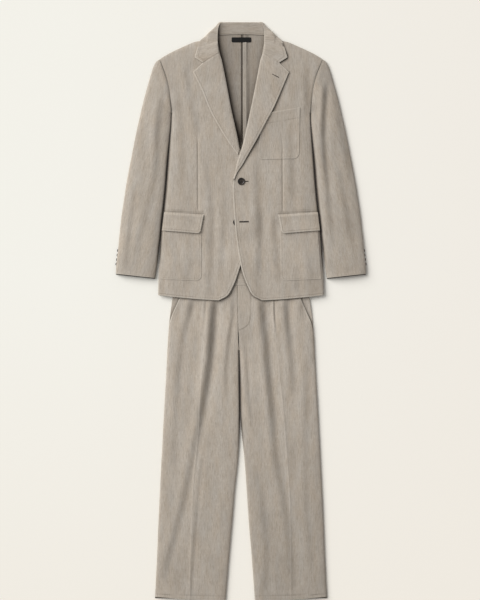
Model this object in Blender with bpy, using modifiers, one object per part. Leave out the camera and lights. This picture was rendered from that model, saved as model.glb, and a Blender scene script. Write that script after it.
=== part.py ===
"""A two-piece suit laid flat on a surface, front up: a single-breasted jacket with notched lapels, and
pleated trousers whose waist lies inside the jacket's hem.

Run it with: blender --background --python part.py

The floor is z = 0, the collar points to +Y, the trouser hems to -Y, and the wearer's left is +X.
All sizes below are in millimetres. Each cut piece is a sheet through rows of points, given its wall by
Solidify, and a pocket, flap or lapel takes its height from the front that it lies on.
"""

import math
from collections import namedtuple

import bmesh
import bpy
from mathutils import Vector

MM = 0.001

# The cloth, and how its layers lie on each other.
WALL = 1.2
HALF = WALL / 2
SEAM_GAP = 0.5
RIM_GAP = 1.0
LAYER_GAP = 0.5
TOP_LEVEL = 5.2
EDGE_REACH = 4.0
SHOULDER_REACH = 6.0
STEP_UP = WALL + LAYER_GAP

# The waist of the trousers lies between the jacket's back and its fronts.
HEM_CLEAR_LOW = -20.0
HEM_CLEAR_HIGH = 25.0
UNDER_RISE = 1.6
OVER_RISE = 1.0
WAIST_RISE = 3.5
BAND_SEAM_Y = 72.5
BAND_TOP_Y = 122.0

# The left front laps over the right one, and the lower button lies between them.
LAP_RISE = 1.8
BUTTON_RISE = 3.2
LAP_NEAR = 26.0
LAP_FAR = 62.0

# The back of the neck lies on the turned-down collar.
NECK_RISE = 1.9

# Buttons.
FRONT_BUTTON_RADIUS = 10.3
FRONT_BUTTON_THICK = 2.6
CUFF_BUTTON_RADIUS = 7.0
CUFF_BUTTON_THICK = 2.2
CUFF_BUTTON_LIFT = 2.8
CUFF_BUTTON_YS = (132.0, 144.5, 157.0, 169.5)

Section = namedtuple("Section", "inner_x inner_y outer_x outer_y")
Level = namedtuple("Level", "x y")
CollarSection = namedtuple(
    "CollarSection", "roll_x roll_y roll_z bend_x bend_y bend_z edge_x edge_y edge_z"
)
Fold = namedtuple("Fold", "from_crease height wide low_y high_y")

# Jacket front, hem to shoulder: its front edge and roll line, and its side seam and armhole.
FRONT_SECTIONS = (
    Section(58.5, 31.0, 231.6, 45.0),
    Section(35.0, 43.0, 231.5, 62.0),
    Section(19.0, 70.0, 231.3, 90.0),
    Section(4.5, 108.0, 229.5, 128.0),
    Section(-7.5, 165.0, 226.5, 178.0),
    Section(-14.2, 215.0, 223.5, 222.0),
    Section(-17.6, 250.0, 219.5, 258.0),
    Section(-20.0, 285.0, 215.8, 290.0),
    Section(-22.0, 320.0, 212.0, 325.0),
    Section(-22.5, 352.0, 208.8, 362.0),
    Section(-18.5, 383.0, 206.0, 400.0),
    Section(-9.0, 426.0, 202.6, 440.0),
    Section(5.0, 462.0, 199.0, 480.0),
    Section(17.5, 518.0, 195.6, 520.0),
    Section(28.6, 568.0, 194.5, 553.0),
    Section(38.0, 617.0, 197.0, 585.0),
    Section(47.5, 665.0, 202.0, 625.0),
    Section(55.5, 708.0, 211.0, 660.0),
    Section(62.0, 742.0, 221.5, 687.0),
    Section(66.5, 767.0, 227.5, 704.0),
)
ARMPIT_ROW = 14
BACK_NECK_Y = 775.5
BACK_HEM_Y = 36.0

# The shoulder seam and back neck, seen from the front.
SHOULDER_LINE = (
    Level(0.0, 775.5),
    Level(58.0, 774.5),
    Level(70.0, 766.0),
    Level(90.0, 761.5),
    Level(113.0, 755.5),
    Level(132.0, 752.3),
    Level(156.0, 741.6),
    Level(181.0, 730.4),
    Level(203.0, 719.4),
    Level(222.0, 708.4),
    Level(227.5, 704.0),
)

# Sleeve, cuff to shoulder: its side by the body, then the armhole, and its outer side.
SLEEVE_SECTIONS = (
    Section(240.0, 90.7, 349.6, 102.5),
    Section(237.0, 110.0, 349.4, 128.0),
    Section(233.6, 132.0, 346.0, 152.0),
    Section(228.5, 175.0, 341.4, 200.0),
    Section(224.8, 205.0, 338.6, 228.0),
    Section(220.7, 250.0, 334.2, 268.0),
    Section(214.9, 300.0, 327.6, 312.0),
    Section(210.0, 350.0, 319.8, 362.0),
    Section(206.1, 400.0, 310.4, 412.0),
    Section(201.8, 450.0, 300.8, 462.0),
    Section(197.5, 500.0, 290.6, 512.0),
    Section(195.2, 530.0, 283.6, 542.0),
    Section(194.5, 553.0, 277.6, 569.0),
    Section(197.0, 585.0, 269.6, 601.0),
    Section(202.0, 625.0, 259.6, 637.0),
    Section(211.0, 660.0, 250.6, 668.0),
    Section(221.5, 687.0, 243.0, 688.0),
    Section(227.5, 704.0, 236.0, 699.6),
)
SLEEVE_ARMPIT_ROW = 12

# Trouser fronts, waist to hem: the fly and inside leg, and the pocket mouth and outside leg.
LEFT_LEG_SECTIONS = (
    Section(-9.0, 72.5, 151.5, 72.5),
    Section(-8.6, 45.0, 163.3, 45.0),
    Section(-8.2, 20.0, 174.2, 20.0),
    Section(-7.8, -5.0, 185.2, -5.0),
    Section(-7.4, -30.0, 196.2, -30.0),
    Section(-6.7, -64.0, 203.3, -64.0),
    Section(-5.4, -110.0, 206.0, -110.0),
    Section(-4.2, -170.0, 209.0, -170.0),
    Section(-3.2, -230.0, 212.5, -230.0),
    Section(-2.6, -290.0, 215.8, -290.0),
    Section(2.6, -350.0, 219.0, -350.0),
    Section(9.5, -416.0, 222.5, -416.0),
    Section(15.5, -500.0, 226.7, -500.0),
    Section(21.5, -590.0, 231.0, -590.0),
    Section(29.8, -690.0, 235.0, -690.0),
    Section(35.0, -760.0, 238.3, -757.0),
    Section(38.4, -809.0, 240.7, -803.0),
)
RIGHT_LEG_SECTIONS = (
    Section(-12.0, 72.5, 156.0, 72.5),
    Section(-11.6, 45.0, 168.5, 45.0),
    Section(-11.0, 20.0, 180.0, 20.0),
    Section(-9.0, -5.0, 191.4, -5.0),
    Section(-3.0, -30.0, 199.6, -30.0),
    Section(6.7, -64.0, 203.3, -64.0),
    Section(5.4, -110.0, 206.0, -110.0),
    Section(4.2, -170.0, 209.0, -170.0),
    Section(3.2, -230.0, 212.5, -230.0),
    Section(2.6, -290.0, 215.8, -290.0),
    Section(3.4, -350.0, 219.0, -350.0),
    Section(8.0, -416.0, 222.5, -416.0),
    Section(17.0, -500.0, 226.7, -500.0),
    Section(24.5, -590.0, 231.0, -590.0),
    Section(33.3, -690.0, 235.0, -690.0),
    Section(39.0, -760.0, 238.3, -757.0),
    Section(43.0, -809.0, 240.7, -803.0),
)
CENTRE_SEAM_ROW = 5
CROTCH_ROW = 7
# The side of the trousers above the pocket mouth's lower end, where the jacket hides most of it.
HIP_LINE = (
    Level(187.0, 72.5),
    Level(190.5, 45.0),
    Level(194.0, 20.0),
    Level(197.8, -5.0),
    Level(200.9, -30.0),
)
FACING_TUCK = 16.0

# The pressed crease of each leg, waist to hem, and the folds that run beside it from the pleats.
CREASE_LINE = (
    Level(92.5, 72.5),
    Level(93.0, -30.0),
    Level(104.0, -160.0),
    Level(116.0, -310.0),
    Level(131.0, -490.0),
    Level(139.5, -700.0),
    Level(141.0, -809.0),
)
LEG_FOLDS = (
    Fold(-52.0, 0.8, 10.0, -110.0, 40.0),
    Fold(-34.0, -0.7, 10.0, -90.0, 40.0),
    Fold(-12.0, -0.9, 9.0, -240.0, 40.0),
    Fold(0.0, 0.9, 7.0, -900.0, 40.0),
)

# Lapels, break to gorge: roll line, and the lapel's free edge.
LEFT_LAPEL_SECTIONS = (
    Section(-20.6, 374.0, -17.4, 370.0),
    Section(-14.6, 400.0, -3.0, 400.0),
    Section(-3.6, 434.0, 17.0, 433.0),
    Section(6.0, 468.0, 40.0, 473.0),
    Section(17.2, 518.0, 68.6, 527.0),
    Section(29.5, 573.0, 91.6, 570.0),
    Section(44.5, 651.0, 114.0, 621.0),
    Section(54.5, 703.0, 133.6, 668.0),
    Section(60.8, 719.5, 106.4, 692.0),
)
RIGHT_LAPEL_SECTIONS = (
    Section(6.8, 456.0, 10.8, 440.0),
    Section(11.5, 486.0, 30.0, 467.0),
    Section(18.5, 522.0, 47.0, 492.0),
    Section(28.6, 568.0, 66.0, 524.0),
    Section(37.5, 616.0, 86.0, 562.0),
    Section(47.5, 668.0, 109.5, 618.0),
    Section(55.0, 705.0, 133.6, 668.0),
    Section(60.8, 719.5, 106.4, 692.0),
)
LAPEL_RISE = 3.0
ROLL_BULGE = 0.9

# Collar fall, gorge to centre back: the roll line, the bend over the shoulder, and the outer edge.
COLLAR_SECTIONS = (
    CollarSection(62.0, 723.0, 8.3, 84.0, 709.5, 8.3, 106.6, 695.6, 8.2),
    CollarSection(63.4, 732.0, 8.7, 96.0, 721.0, 8.4, 129.6, 709.4, 8.2),
    CollarSection(64.4, 748.0, 8.9, 94.0, 741.0, 8.4, 122.5, 734.0, 8.1),
    CollarSection(64.6, 763.0, 8.9, 92.0, 760.5, 8.2, 116.0, 753.0, 8.0),
    CollarSection(64.2, 776.0, 8.6, 94.0, 774.5, 6.4, 110.2, 762.6, 3.6),
    CollarSection(62.6, 787.5, 7.8, 84.5, 786.4, 3.8, 97.0, 759.0, 0.7),
    CollarSection(57.0, 797.0, 6.8, 71.0, 798.2, 3.3, 79.0, 762.0, 0.6),
    CollarSection(46.0, 801.0, 6.0, 53.0, 807.4, 3.0, 55.0, 764.5, 0.6),
    CollarSection(24.0, 801.6, 5.8, 27.0, 808.0, 3.0, 27.5, 766.0, 0.6),
    CollarSection(0.0, 801.6, 5.8, 0.0, 808.0, 3.0, 0.0, 766.5, 0.6),
)
COLLAR_COLUMNS = (0.0, 0.12, 0.24, 0.36, 0.5, 0.65, 0.8, 1.0)
STAND_HALF_LENGTH = 61.0

# Pockets: corners on the front, and the flap's edges at its inner and outer ends.
BREAST_POCKET_INNER_X = 47.0
BREAST_POCKET_OUTER_X = 164.0
BREAST_POCKET_LOW_Y = 424.0
BREAST_POCKET_TOP_INNER_Y = 554.0
BREAST_POCKET_TOP_OUTER_Y = 570.0
HIP_POCKET_INNER_X = 111.0
HIP_POCKET_LOW_Y = 85.0
HIP_POCKET_TOP_Y = 256.0
HIP_POCKET_SIDE_INSET = 10.0
POCKET_CORNER = 16.0
FLAP_INNER_TOP = Level(104.5, 270.0)
FLAP_INNER_LOW = Level(114.0, 218.0)
FLAP_OUTER_TOP = Level(214.0, 278.0)
FLAP_OUTER_LOW = Level(219.0, 227.0)
FLAP_CORNER = 9.0

SIDES = (("left", 1), ("right", -1))


def smooth(low, high, value):
    """0 below low, 1 above high, with a soft step between."""
    share = min(max((value - low) / (high - low), 0.0), 1.0)
    return share * share * (3.0 - 2.0 * share)


def blend(start, end, share):
    return start + (end - start) * share


def read_line(line, value, given, wanted):
    """Reads one column of a table of levels at a value of its other column."""
    rows = sorted(line, key=lambda row: getattr(row, given))
    if value <= getattr(rows[0], given):
        return getattr(rows[0], wanted)
    for low, high in zip(rows, rows[1:]):
        if value <= getattr(high, given):
            span = getattr(high, given) - getattr(low, given)
            share = (value - getattr(low, given)) / span
            return blend(getattr(low, wanted), getattr(high, wanted), share)
    return getattr(rows[-1], wanted)


def section_at(sections, place):
    """The section at a place counted in rows, which may lie between two rows."""
    low = min(int(place), len(sections) - 2)
    share = place - low
    return Section(*(blend(a, b, share) for a, b in zip(sections[low], sections[low + 1])))


def path_distance(x, y, path):
    """The shortest distance in plan from a point to a run of points."""
    nearest = math.inf
    for (ax, ay), (bx, by) in zip(path, path[1:]):
        run_x = bx - ax
        run_y = by - ay
        share = ((x - ax) * run_x + (y - ay) * run_y) / (run_x * run_x + run_y * run_y)
        share = min(max(share, 0.0), 1.0)
        nearest = min(nearest, math.hypot(x - ax - share * run_x, y - ay - share * run_y))
    return nearest


def edge_drop(distance, reach):
    """How far a sheet has turned towards its seam: 1 at the edge, 0 from the reach inwards."""
    share = 1.0 - min(max(distance / reach, 0.0), 1.0)
    return 1.0 - math.sqrt(max(1.0 - share * share, 0.0))


def across(length, near_steps, far_steps, middle):
    """Shares of a row's length, with the steps given in millimetres at each of its ends."""
    squeeze = min(1.0, 0.45 * length / max(near_steps[-1], far_steps[-1], 0.001))
    near = [step * squeeze / length for step in near_steps]
    far = [1.0 - step * squeeze / length for step in reversed(far_steps)]
    gap = (far[0] - near[-1]) / (middle + 1)
    between = [near[-1] + gap * (index + 1) for index in range(middle)]
    return near + between + far


ROUND_STEPS = (0.0, 0.25, 1.3, EDGE_REACH)
PLAIN_STEPS = (0.0,)


# Levels of the layers, as functions of a place in plan.


def waist_share(y):
    return 1.0 - smooth(140.0, 200.0, y)


def cuff_lift(x, y):
    """The cuff buttons lie under the outer edge of each sleeve and lift it a little."""
    outer = read_line([Level(row.outer_x, row.outer_y) for row in SLEEVE_SECTIONS], y, "y", "x")
    window = smooth(90.0, 114.0, y) * (1.0 - smooth(192.0, 232.0, y))
    return CUFF_BUTTON_LIFT * window * smooth(outer - 45.0, outer - 16.0, abs(x))


def jacket_under(x, y):
    neck = smooth(690.0, 735.0, y) * (1.0 - smooth(112.0, 150.0, abs(x)))
    return HALF + NECK_RISE * neck + cuff_lift(x, y)


def jacket_over(x, y):
    outward = abs(x)
    waist = waist_share(y)
    level = TOP_LEVEL + WAIST_RISE * waist * (1.0 - 0.75 * smooth(188.0, 222.0, outward))
    level += LAP_RISE * waist * (1.0 - smooth(30.0, 74.0, outward))
    level += 0.5 * NECK_RISE * smooth(690.0, 735.0, y) * (1.0 - smooth(112.0, 150.0, outward))
    return level + 0.6 * cuff_lift(x, y)


def lap_rise(sign, x, y):
    """How much higher the left front lies, near the centre, than the right one that it covers."""
    if sign < 0:
        return 0.0
    button = smooth(195.0, 232.0, y) * (1.0 - smooth(266.0, 303.0, y))
    near = 1.0 - smooth(LAP_NEAR, LAP_FAR, x)
    return near * (LAP_RISE + BUTTON_RISE * button)


def leg_folds(x, y):
    crease = read_line(CREASE_LINE, y, "y", "x")
    total = 0.0
    for fold in LEG_FOLDS:
        offset = abs(x) - crease - fold.from_crease
        fade = smooth(fold.low_y, fold.low_y + 70.0, y) * (1.0 - smooth(fold.high_y, fold.high_y + 30.0, y))
        total += fold.height * fade * math.exp(-((offset / fold.wide) ** 2))
    return total


def trouser_under(x, y):
    return HALF + UNDER_RISE * smooth(HEM_CLEAR_LOW, HEM_CLEAR_HIGH, y)


def trouser_over(x, y):
    return TOP_LEVEL + OVER_RISE * smooth(HEM_CLEAR_LOW, HEM_CLEAR_HIGH, y)


def fly_rise(sign, x, y):
    if sign < 0:
        return 0.0
    return LAP_RISE * (1.0 - smooth(LAP_NEAR, LAP_FAR, x)) * smooth(-84.0, -50.0, y)


def turned_over(over, under, turned):
    """A top panel on its way down to the seam halfway between the two layers."""
    rim = (over + under) / 2 + RIM_GAP / 2
    return over - (over - rim) * turned


def turned_under(over, under, turned):
    """A bottom panel on its way up to the same seam."""
    rim = (over + under) / 2 - RIM_GAP / 2
    return under + (rim - under) * turned


# Outlines in plan. Where two rounded edges lie side by side, each stands back by its own wall.


def seam_inset(rows_past_armpit):
    """How far a side stands back: by its rounded wall up to the armpit, and by half a seam above it."""
    if rows_past_armpit <= 0:
        return HALF + 0.3
    return SEAM_GAP if rows_past_armpit == 1 else SEAM_GAP / 2


FRONT_TABLE = tuple(
    Section(row.inner_x, row.inner_y, row.outer_x - seam_inset(index - ARMPIT_ROW), row.outer_y)
    for index, row in enumerate(FRONT_SECTIONS)
)
SLEEVE_TABLE = tuple(
    Section(
        row.inner_x + seam_inset(index - SLEEVE_ARMPIT_ROW),
        row.inner_y,
        row.outer_x - HALF,
        row.outer_y,
    )
    for index, row in enumerate(SLEEVE_SECTIONS)
)
SIDE_PATH = [(row.outer_x, row.outer_y) for row in FRONT_TABLE[: ARMPIT_ROW + 1]]
SHOULDER_PATH = [(row.x, row.y) for row in SHOULDER_LINE if row.x >= 70.0]
SLEEVE_INNER_PATH = [(row.inner_x, row.inner_y) for row in SLEEVE_TABLE[: SLEEVE_ARMPIT_ROW + 1]]
SLEEVE_OUTER_PATH = [(row.outer_x, row.outer_y) for row in SLEEVE_TABLE]
SLEEVE_OUTER_PATH.append((SLEEVE_TABLE[-1].inner_x, SLEEVE_TABLE[-1].inner_y))


def body_drop(x, y):
    """How far the jacket's body has turned towards its side or shoulder seam."""
    outward = abs(x)
    side = edge_drop(path_distance(outward, y, SIDE_PATH), EDGE_REACH)
    shoulder = edge_drop(path_distance(outward, y, SHOULDER_PATH), SHOULDER_REACH)
    return max(side, shoulder)


def front_level(sign, x, y):
    """The middle of a jacket front's wall at a place in plan."""
    level = turned_over(jacket_over(x, y), jacket_under(x, y), body_drop(x, y))
    return level + lap_rise(sign, x, y)


def back_level(x, y):
    return turned_under(jacket_over(x, y), jacket_under(x, y), body_drop(x, y))


def sleeve_drop(x, y):
    outward = abs(x)
    inner = edge_drop(path_distance(outward, y, SLEEVE_INNER_PATH), EDGE_REACH)
    outer = edge_drop(path_distance(outward, y, SLEEVE_OUTER_PATH), EDGE_REACH)
    return max(inner, outer)


def sleeve_level(x, y, top):
    turn = turned_over if top else turned_under
    return turn(jacket_over(x, y), jacket_under(x, y), sleeve_drop(x, y))


# Building.


def new_collection(name, hidden):
    collection = bpy.data.collections.new(name)
    bpy.context.scene.collection.children.link(collection)
    collection.hide_render = hidden
    return collection


def finish(name, colour, roughness):
    """A Principled finish in the piece's own colour."""
    made = bpy.data.materials.new(name)
    made.use_nodes = True
    made.diffuse_color = (*colour, 1.0)
    shader = made.node_tree.nodes["Principled BSDF"]
    shader.inputs["Base Color"].default_value = (*colour, 1.0)
    shader.inputs["Roughness"].default_value = roughness
    shader.inputs["Metallic"].default_value = 0.0
    return made


def add_object(name, mesh, material, collection):
    piece = bpy.data.objects.new(name, mesh)
    collection.objects.link(piece)
    if material is not None:
        mesh.materials.append(material)
    return piece


def cloth_piece(name, grid, material, collection, wall=WALL):
    """A sheet through rows of points in millimetres, thickened to its wall."""
    mesh = bpy.data.meshes.new(name)
    form = bmesh.new()
    rows = [[form.verts.new(Vector(point) * MM) for point in row] for row in grid]
    for low, high in zip(rows, rows[1:]):
        for a, b, c, d in zip(low, low[1:], high[1:], high):
            form.faces.new((a, b, c, d))
    for face in form.faces:
        face.smooth = True
    form.to_mesh(mesh)
    form.free()
    piece = add_object(name, mesh, material, collection)
    thicken = piece.modifiers.new("Wall", "SOLIDIFY")
    thicken.thickness = wall * MM
    thicken.offset = 0.0
    thicken.use_even_offset = True
    return piece


def ruled_grid(sections, places, sign, columns, level, shape=None):
    """Rows of points between the two edges of a table of sections, at the height that level gives."""
    grid = []
    for place in places:
        row = section_at(sections, place)
        length = math.hypot(row.outer_x - row.inner_x, row.outer_y - row.inner_y)
        points = []
        for share in columns(length, row):
            x = blend(row.inner_x, row.outer_x, share)
            y = blend(row.inner_y, row.outer_y, share)
            if shape is not None:
                y = shape(place, x, y)
            points.append((sign * x, y, level(sign * x, y)))
        grid.append(points)
    return grid


def shoulder_shape(sections):
    """Bends the topmost rows of a body panel to the shoulder line."""
    last = len(sections) - 1
    top = sections[-1]

    def shape(place, x, y):
        share = (x - top.inner_x) / (top.outer_x - top.inner_x)
        straight = blend(top.inner_y, top.outer_y, share)
        bent = read_line(SHOULDER_LINE, x, "x", "y")
        return y + (bent - straight) * smooth(last - 4.5, last, place)

    return shape


def jacket_fronts(cloth, parts):
    places = list(range(len(FRONT_TABLE) - 1)) + [18.72, 18.9, 18.985, 19]
    for side, sign in SIDES:
        shift = 0.0 if sign > 0 else 3.5
        sections = tuple(
            row._replace(
                inner_x=row.inner_x + shift * (1.0 - smooth(108.0, 175.0, row.inner_y))
                + 1.6 * smooth(426.0, 480.0, row.inner_y)
            )
            for row in FRONT_TABLE
        )

        def columns(length, row):
            return across(length, (0.0, 14.0, 38.0), ROUND_STEPS, 4)

        def level(x, y, sign=sign):
            return front_level(sign, x, y)

        grid = ruled_grid(sections, places, sign, columns, level, shoulder_shape(sections))
        cloth_piece(f"jacket_front_{side}", grid, cloth, parts)


def jacket_backs(cloth, parts):
    last = len(FRONT_TABLE) - 1
    places = list(range(last)) + [18.72, 18.9, 18.985, 19]
    for side, sign in SIDES:
        sections = tuple(
            Section(SEAM_GAP / 2, blend(BACK_HEM_Y, BACK_NECK_Y, index / last), row.outer_x, row.outer_y)
            for index, row in enumerate(FRONT_TABLE)
        )

        def columns(length, row):
            return across(length, PLAIN_STEPS, ROUND_STEPS, 4)

        grid = ruled_grid(sections, places, sign, columns, back_level, shoulder_shape(sections))
        cloth_piece(f"jacket_back_{side}", grid, cloth, parts)


def sleeves(cloth, parts):
    last = len(SLEEVE_TABLE) - 1
    places = list(range(last)) + [last - 0.28, last - 0.1, last - 0.02, last]
    for side, sign in SIDES:
        for part, top in (("top", True), ("under", False)):

            def columns(length, row):
                return across(length, ROUND_STEPS, ROUND_STEPS, 1)

            def level(x, y, top=top):
                return sleeve_level(x, y, top)

            grid = ruled_grid(SLEEVE_TABLE, places, sign, columns, level)
            cloth_piece(f"sleeve_{part}_{side}", grid, cloth, parts)


def leg_table(sections, back):
    """A leg's sections with its rounded edges stood back, and for a back its own centre seam."""
    table = []
    for index, row in enumerate(sections):
        inner = row.inner_x
        outer = row.outer_x - HALF
        if back and index < CENTRE_SEAM_ROW:
            inner = blend(SEAM_GAP / 2, row.inner_x, smooth(0, CENTRE_SEAM_ROW, index)) if row.inner_x > 0 else 0.0
        if index >= CENTRE_SEAM_ROW:
            inner += HALF + 0.3
        if back and index < CENTRE_SEAM_ROW:
            outer = read_line(HIP_LINE, row.outer_y, "y", "x") - HALF
        table.append(Section(inner, row.inner_y, outer, row.outer_y))
    return tuple(table)


def leg_paths(table):
    hip = [(row.x - HALF, row.y) for row in HIP_LINE]
    outer = hip + [(row.outer_x, row.outer_y) for row in table[CENTRE_SEAM_ROW:]]
    inner = [(row.inner_x, row.inner_y) for row in table[CENTRE_SEAM_ROW + 1 :]]
    return outer, inner


def trousers(cloth, parts):
    for side, sign in SIDES:
        source = LEFT_LEG_SECTIONS if sign > 0 else RIGHT_LEG_SECTIONS
        front = leg_table(source, False)
        outer_path, inner_path = leg_paths(front)

        def drop(x, y, outer_path=outer_path, inner_path=inner_path, sign=sign):
            outer = edge_drop(path_distance(sign * x, y, outer_path), EDGE_REACH)
            inner = edge_drop(path_distance(sign * x, y, inner_path), EDGE_REACH)
            return max(outer, inner)

        def front_height(x, y, drop=drop, sign=sign):
            turned = drop(x, y)
            level = turned_over(trouser_over(x, y), trouser_under(x, y), turned)
            return level + leg_folds(x, y) * (1.0 - turned) + fly_rise(sign, x, y)

        def back_height(x, y, drop=drop):
            return turned_under(trouser_over(x, y), trouser_under(x, y), drop(x, y))

        def facing_height(x, y, drop=drop):
            rim = (trouser_over(x, y) + trouser_under(x, y) + RIM_GAP) / 2
            over = trouser_over(x, y) - STEP_UP
            return over - (over - rim) * drop(x, y)

        def front_columns(length, row, sign=sign):
            """Columns follow the pressed crease and the folds beside it."""
            crease = read_line(CREASE_LINE, row.outer_y, "y", "x") - row.inner_x
            ends = [step / length for step in ROUND_STEPS]
            middle = [(crease + fold.from_crease) / length for fold in LEG_FOLDS]
            middle.append((crease + 50.0) / length)
            return ends + middle + [1.0 - end for end in reversed(ends)]

        def back_columns(length, row):
            return across(length, ROUND_STEPS, ROUND_STEPS, 1)

        places = list(range(len(source)))
        grid = ruled_grid(front, places, sign, front_columns, front_height)
        cloth_piece(f"trouser_front_{side}", grid, cloth, parts)

        back = leg_table(source, True)
        if sign > 0:
            back = tuple(
                row._replace(inner_x=SEAM_GAP / 2 - 6.7 * smooth(0, CENTRE_SEAM_ROW, index))
                if index < CENTRE_SEAM_ROW
                else row
                for index, row in enumerate(back)
            )
        else:
            back = tuple(
                row._replace(inner_x=SEAM_GAP / 2 + 6.7 * smooth(0, CENTRE_SEAM_ROW, index))
                if index < CENTRE_SEAM_ROW
                else row
                for index, row in enumerate(back)
            )
        grid = ruled_grid(back, places, sign, back_columns, back_height)
        cloth_piece(f"trouser_back_{side}", grid, cloth, parts)

        hip = tuple(
            Section(row.outer_x - FACING_TUCK, row.outer_y, level.x - HALF, row.outer_y)
            for row, level in zip(source, HIP_LINE)
        )

        def facing_columns(length, row):
            return across(length, PLAIN_STEPS, ROUND_STEPS, 1)

        grid = ruled_grid(hip, range(len(hip)), sign, facing_columns, facing_height)
        cloth_piece(f"trouser_pocket_facing_{side}", grid, cloth, parts)


def waistband(cloth, parts):
    """One strip round the waist, from the fly's free edge over the left side, the back and the right side."""
    over = trouser_over(0.0, BAND_TOP_Y)
    under = trouser_under(0.0, BAND_TOP_Y)
    middle = (over + under) / 2
    tall = (over - under) / 2
    wide = EDGE_REACH
    outline = [(-9.0, LAP_RISE), (10.0, LAP_RISE), (LAP_NEAR, LAP_RISE), (44.0, LAP_RISE / 2), (LAP_FAR, 0.0)]
    strip = [(x, over + rise, 0.0) for x, rise in outline]
    strip += [(x, over, 0.0) for x in (100.0, 140.0)]
    turns = [math.pi * step / 8 for step in range(9)]
    strip += [(wide * math.sin(turn), middle + tall * math.cos(turn), 1.0) for turn in turns]
    strip += [(x, under, 0.0) for x in (120.0, 40.0, -40.0, -120.0)]
    strip += [(-wide * math.sin(turn), middle - tall * math.cos(turn), -1.0) for turn in turns]
    strip += [(x, over, 0.0) for x in (-140.0, -100.0, -50.0, -10.0, 12.0)]
    grid = []
    for y, half_width in ((BAND_SEAM_Y + SEAM_GAP, 187.0), (98.0, 185.0), (BAND_TOP_Y, 183.0)):
        side = half_width - HALF - wide
        grid.append([(x + side * at_side, y, z) for x, z, at_side in strip])
    cloth_piece("waistband", grid, cloth, parts)


def lapels(cloth, parts):
    for side, sign in SIDES:
        sections = LEFT_LAPEL_SECTIONS if sign > 0 else RIGHT_LAPEL_SECTIONS
        grid = []
        for row in sections:
            points = []
            for share in (0.0, 0.04, 0.12, 0.3, 0.6, 1.0):
                x = blend(row.inner_x, row.outer_x, share)
                y = blend(row.inner_y, row.outer_y, share)
                wide = smooth(4.0, 40.0, abs(row.outer_x - row.inner_x))
                bulge = ROLL_BULGE * wide * math.sin(math.pi * min(share / 0.3, 1.0))
                level = front_level(sign, sign * max(x, row.inner_x + 3.0), min(y, 740.0))
                points.append((sign * x, y, level + blend(1.7, LAPEL_RISE, wide) + bulge))
            grid.append(points)
        cloth_piece(f"lapel_{side}", grid, cloth, parts)


def collar_point(section, share):
    """A point across the collar fall: over the roll, round the bend, and straight to the outer edge."""
    roll = Vector(section[0:3])
    bend = Vector(section[3:6])
    edge = Vector(section[6:9])
    turn = bend.lerp(edge, 0.16)
    turn.z = blend(edge.z, bend.z, 0.12)
    stops = (roll, bend, turn, edge)
    places = (0.0, 0.36, 0.65, 1.0)
    for index in range(3):
        if share <= places[index + 1]:
            break
    t = (share - places[index]) / (places[index + 1] - places[index])
    before = stops[max(index - 1, 0)]
    after = stops[min(index + 2, 3)]
    start = (stops[index + 1] - before) * 0.5
    end = (after - stops[index]) * 0.5
    limit = (stops[index + 1] - stops[index]).length
    start *= min(1.0, limit / max(start.length, 0.001))
    end *= min(1.0, limit / max(end.length, 0.001))
    a = 2 * t**3 - 3 * t**2 + 1
    b = t**3 - 2 * t**2 + t
    c = -2 * t**3 + 3 * t**2
    d = t**3 - t**2
    return stops[index] * a + start * b + stops[index + 1] * c + end * d


def collar(cloth, parts):
    right = [tuple(collar_point(section, share) for share in COLLAR_COLUMNS) for section in COLLAR_SECTIONS]
    left = [tuple(Vector((-point.x, point.y, point.z)) for point in row) for row in right]
    cloth_piece("collar_fall", right + left[-2::-1], cloth, parts)
    grid = []
    for index in range(13):
        share = -1.0 + index / 6
        dip = 3.0 * share * share
        x = STAND_HALF_LENGTH * share
        low = (x, BACK_NECK_Y - 3.5 - dip, jacket_under(x, 770.0) + STEP_UP)
        high = (x * 0.86, 800.5 - 1.6 * dip, 4.2)
        middle = ((low[0] + high[0]) / 2, (low[1] + high[1]) / 2, (low[2] + high[2]) / 2 + 0.2)
        grid.append((low, middle, high))
    cloth_piece("collar_stand", grid, cloth, parts)


def patch_grid(corners, corner_radius, level, columns, heights):
    """A patch with rounded lower corners, its rows at given heights above the lower edge."""
    inner_low, inner_top, outer_low, outer_top = corners
    tall = inner_top.y - inner_low.y
    grid = []
    for height in heights:
        up = height / tall
        short = max(corner_radius - height, 0.0)
        cut = corner_radius - math.sqrt(max(corner_radius**2 - short**2, 0.0))
        start = blend(inner_low.x, inner_top.x, up) + cut
        end = blend(outer_low.x, outer_top.x, up) - cut
        points = []
        for column in range(columns + 1):
            share = column / columns
            x = blend(start, end, share)
            y = blend(blend(inner_low.y, inner_top.y, up), blend(outer_low.y, outer_top.y, up), share)
            points.append((x, y, level(x, y, height)))
        grid.append(points)
    return grid


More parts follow.
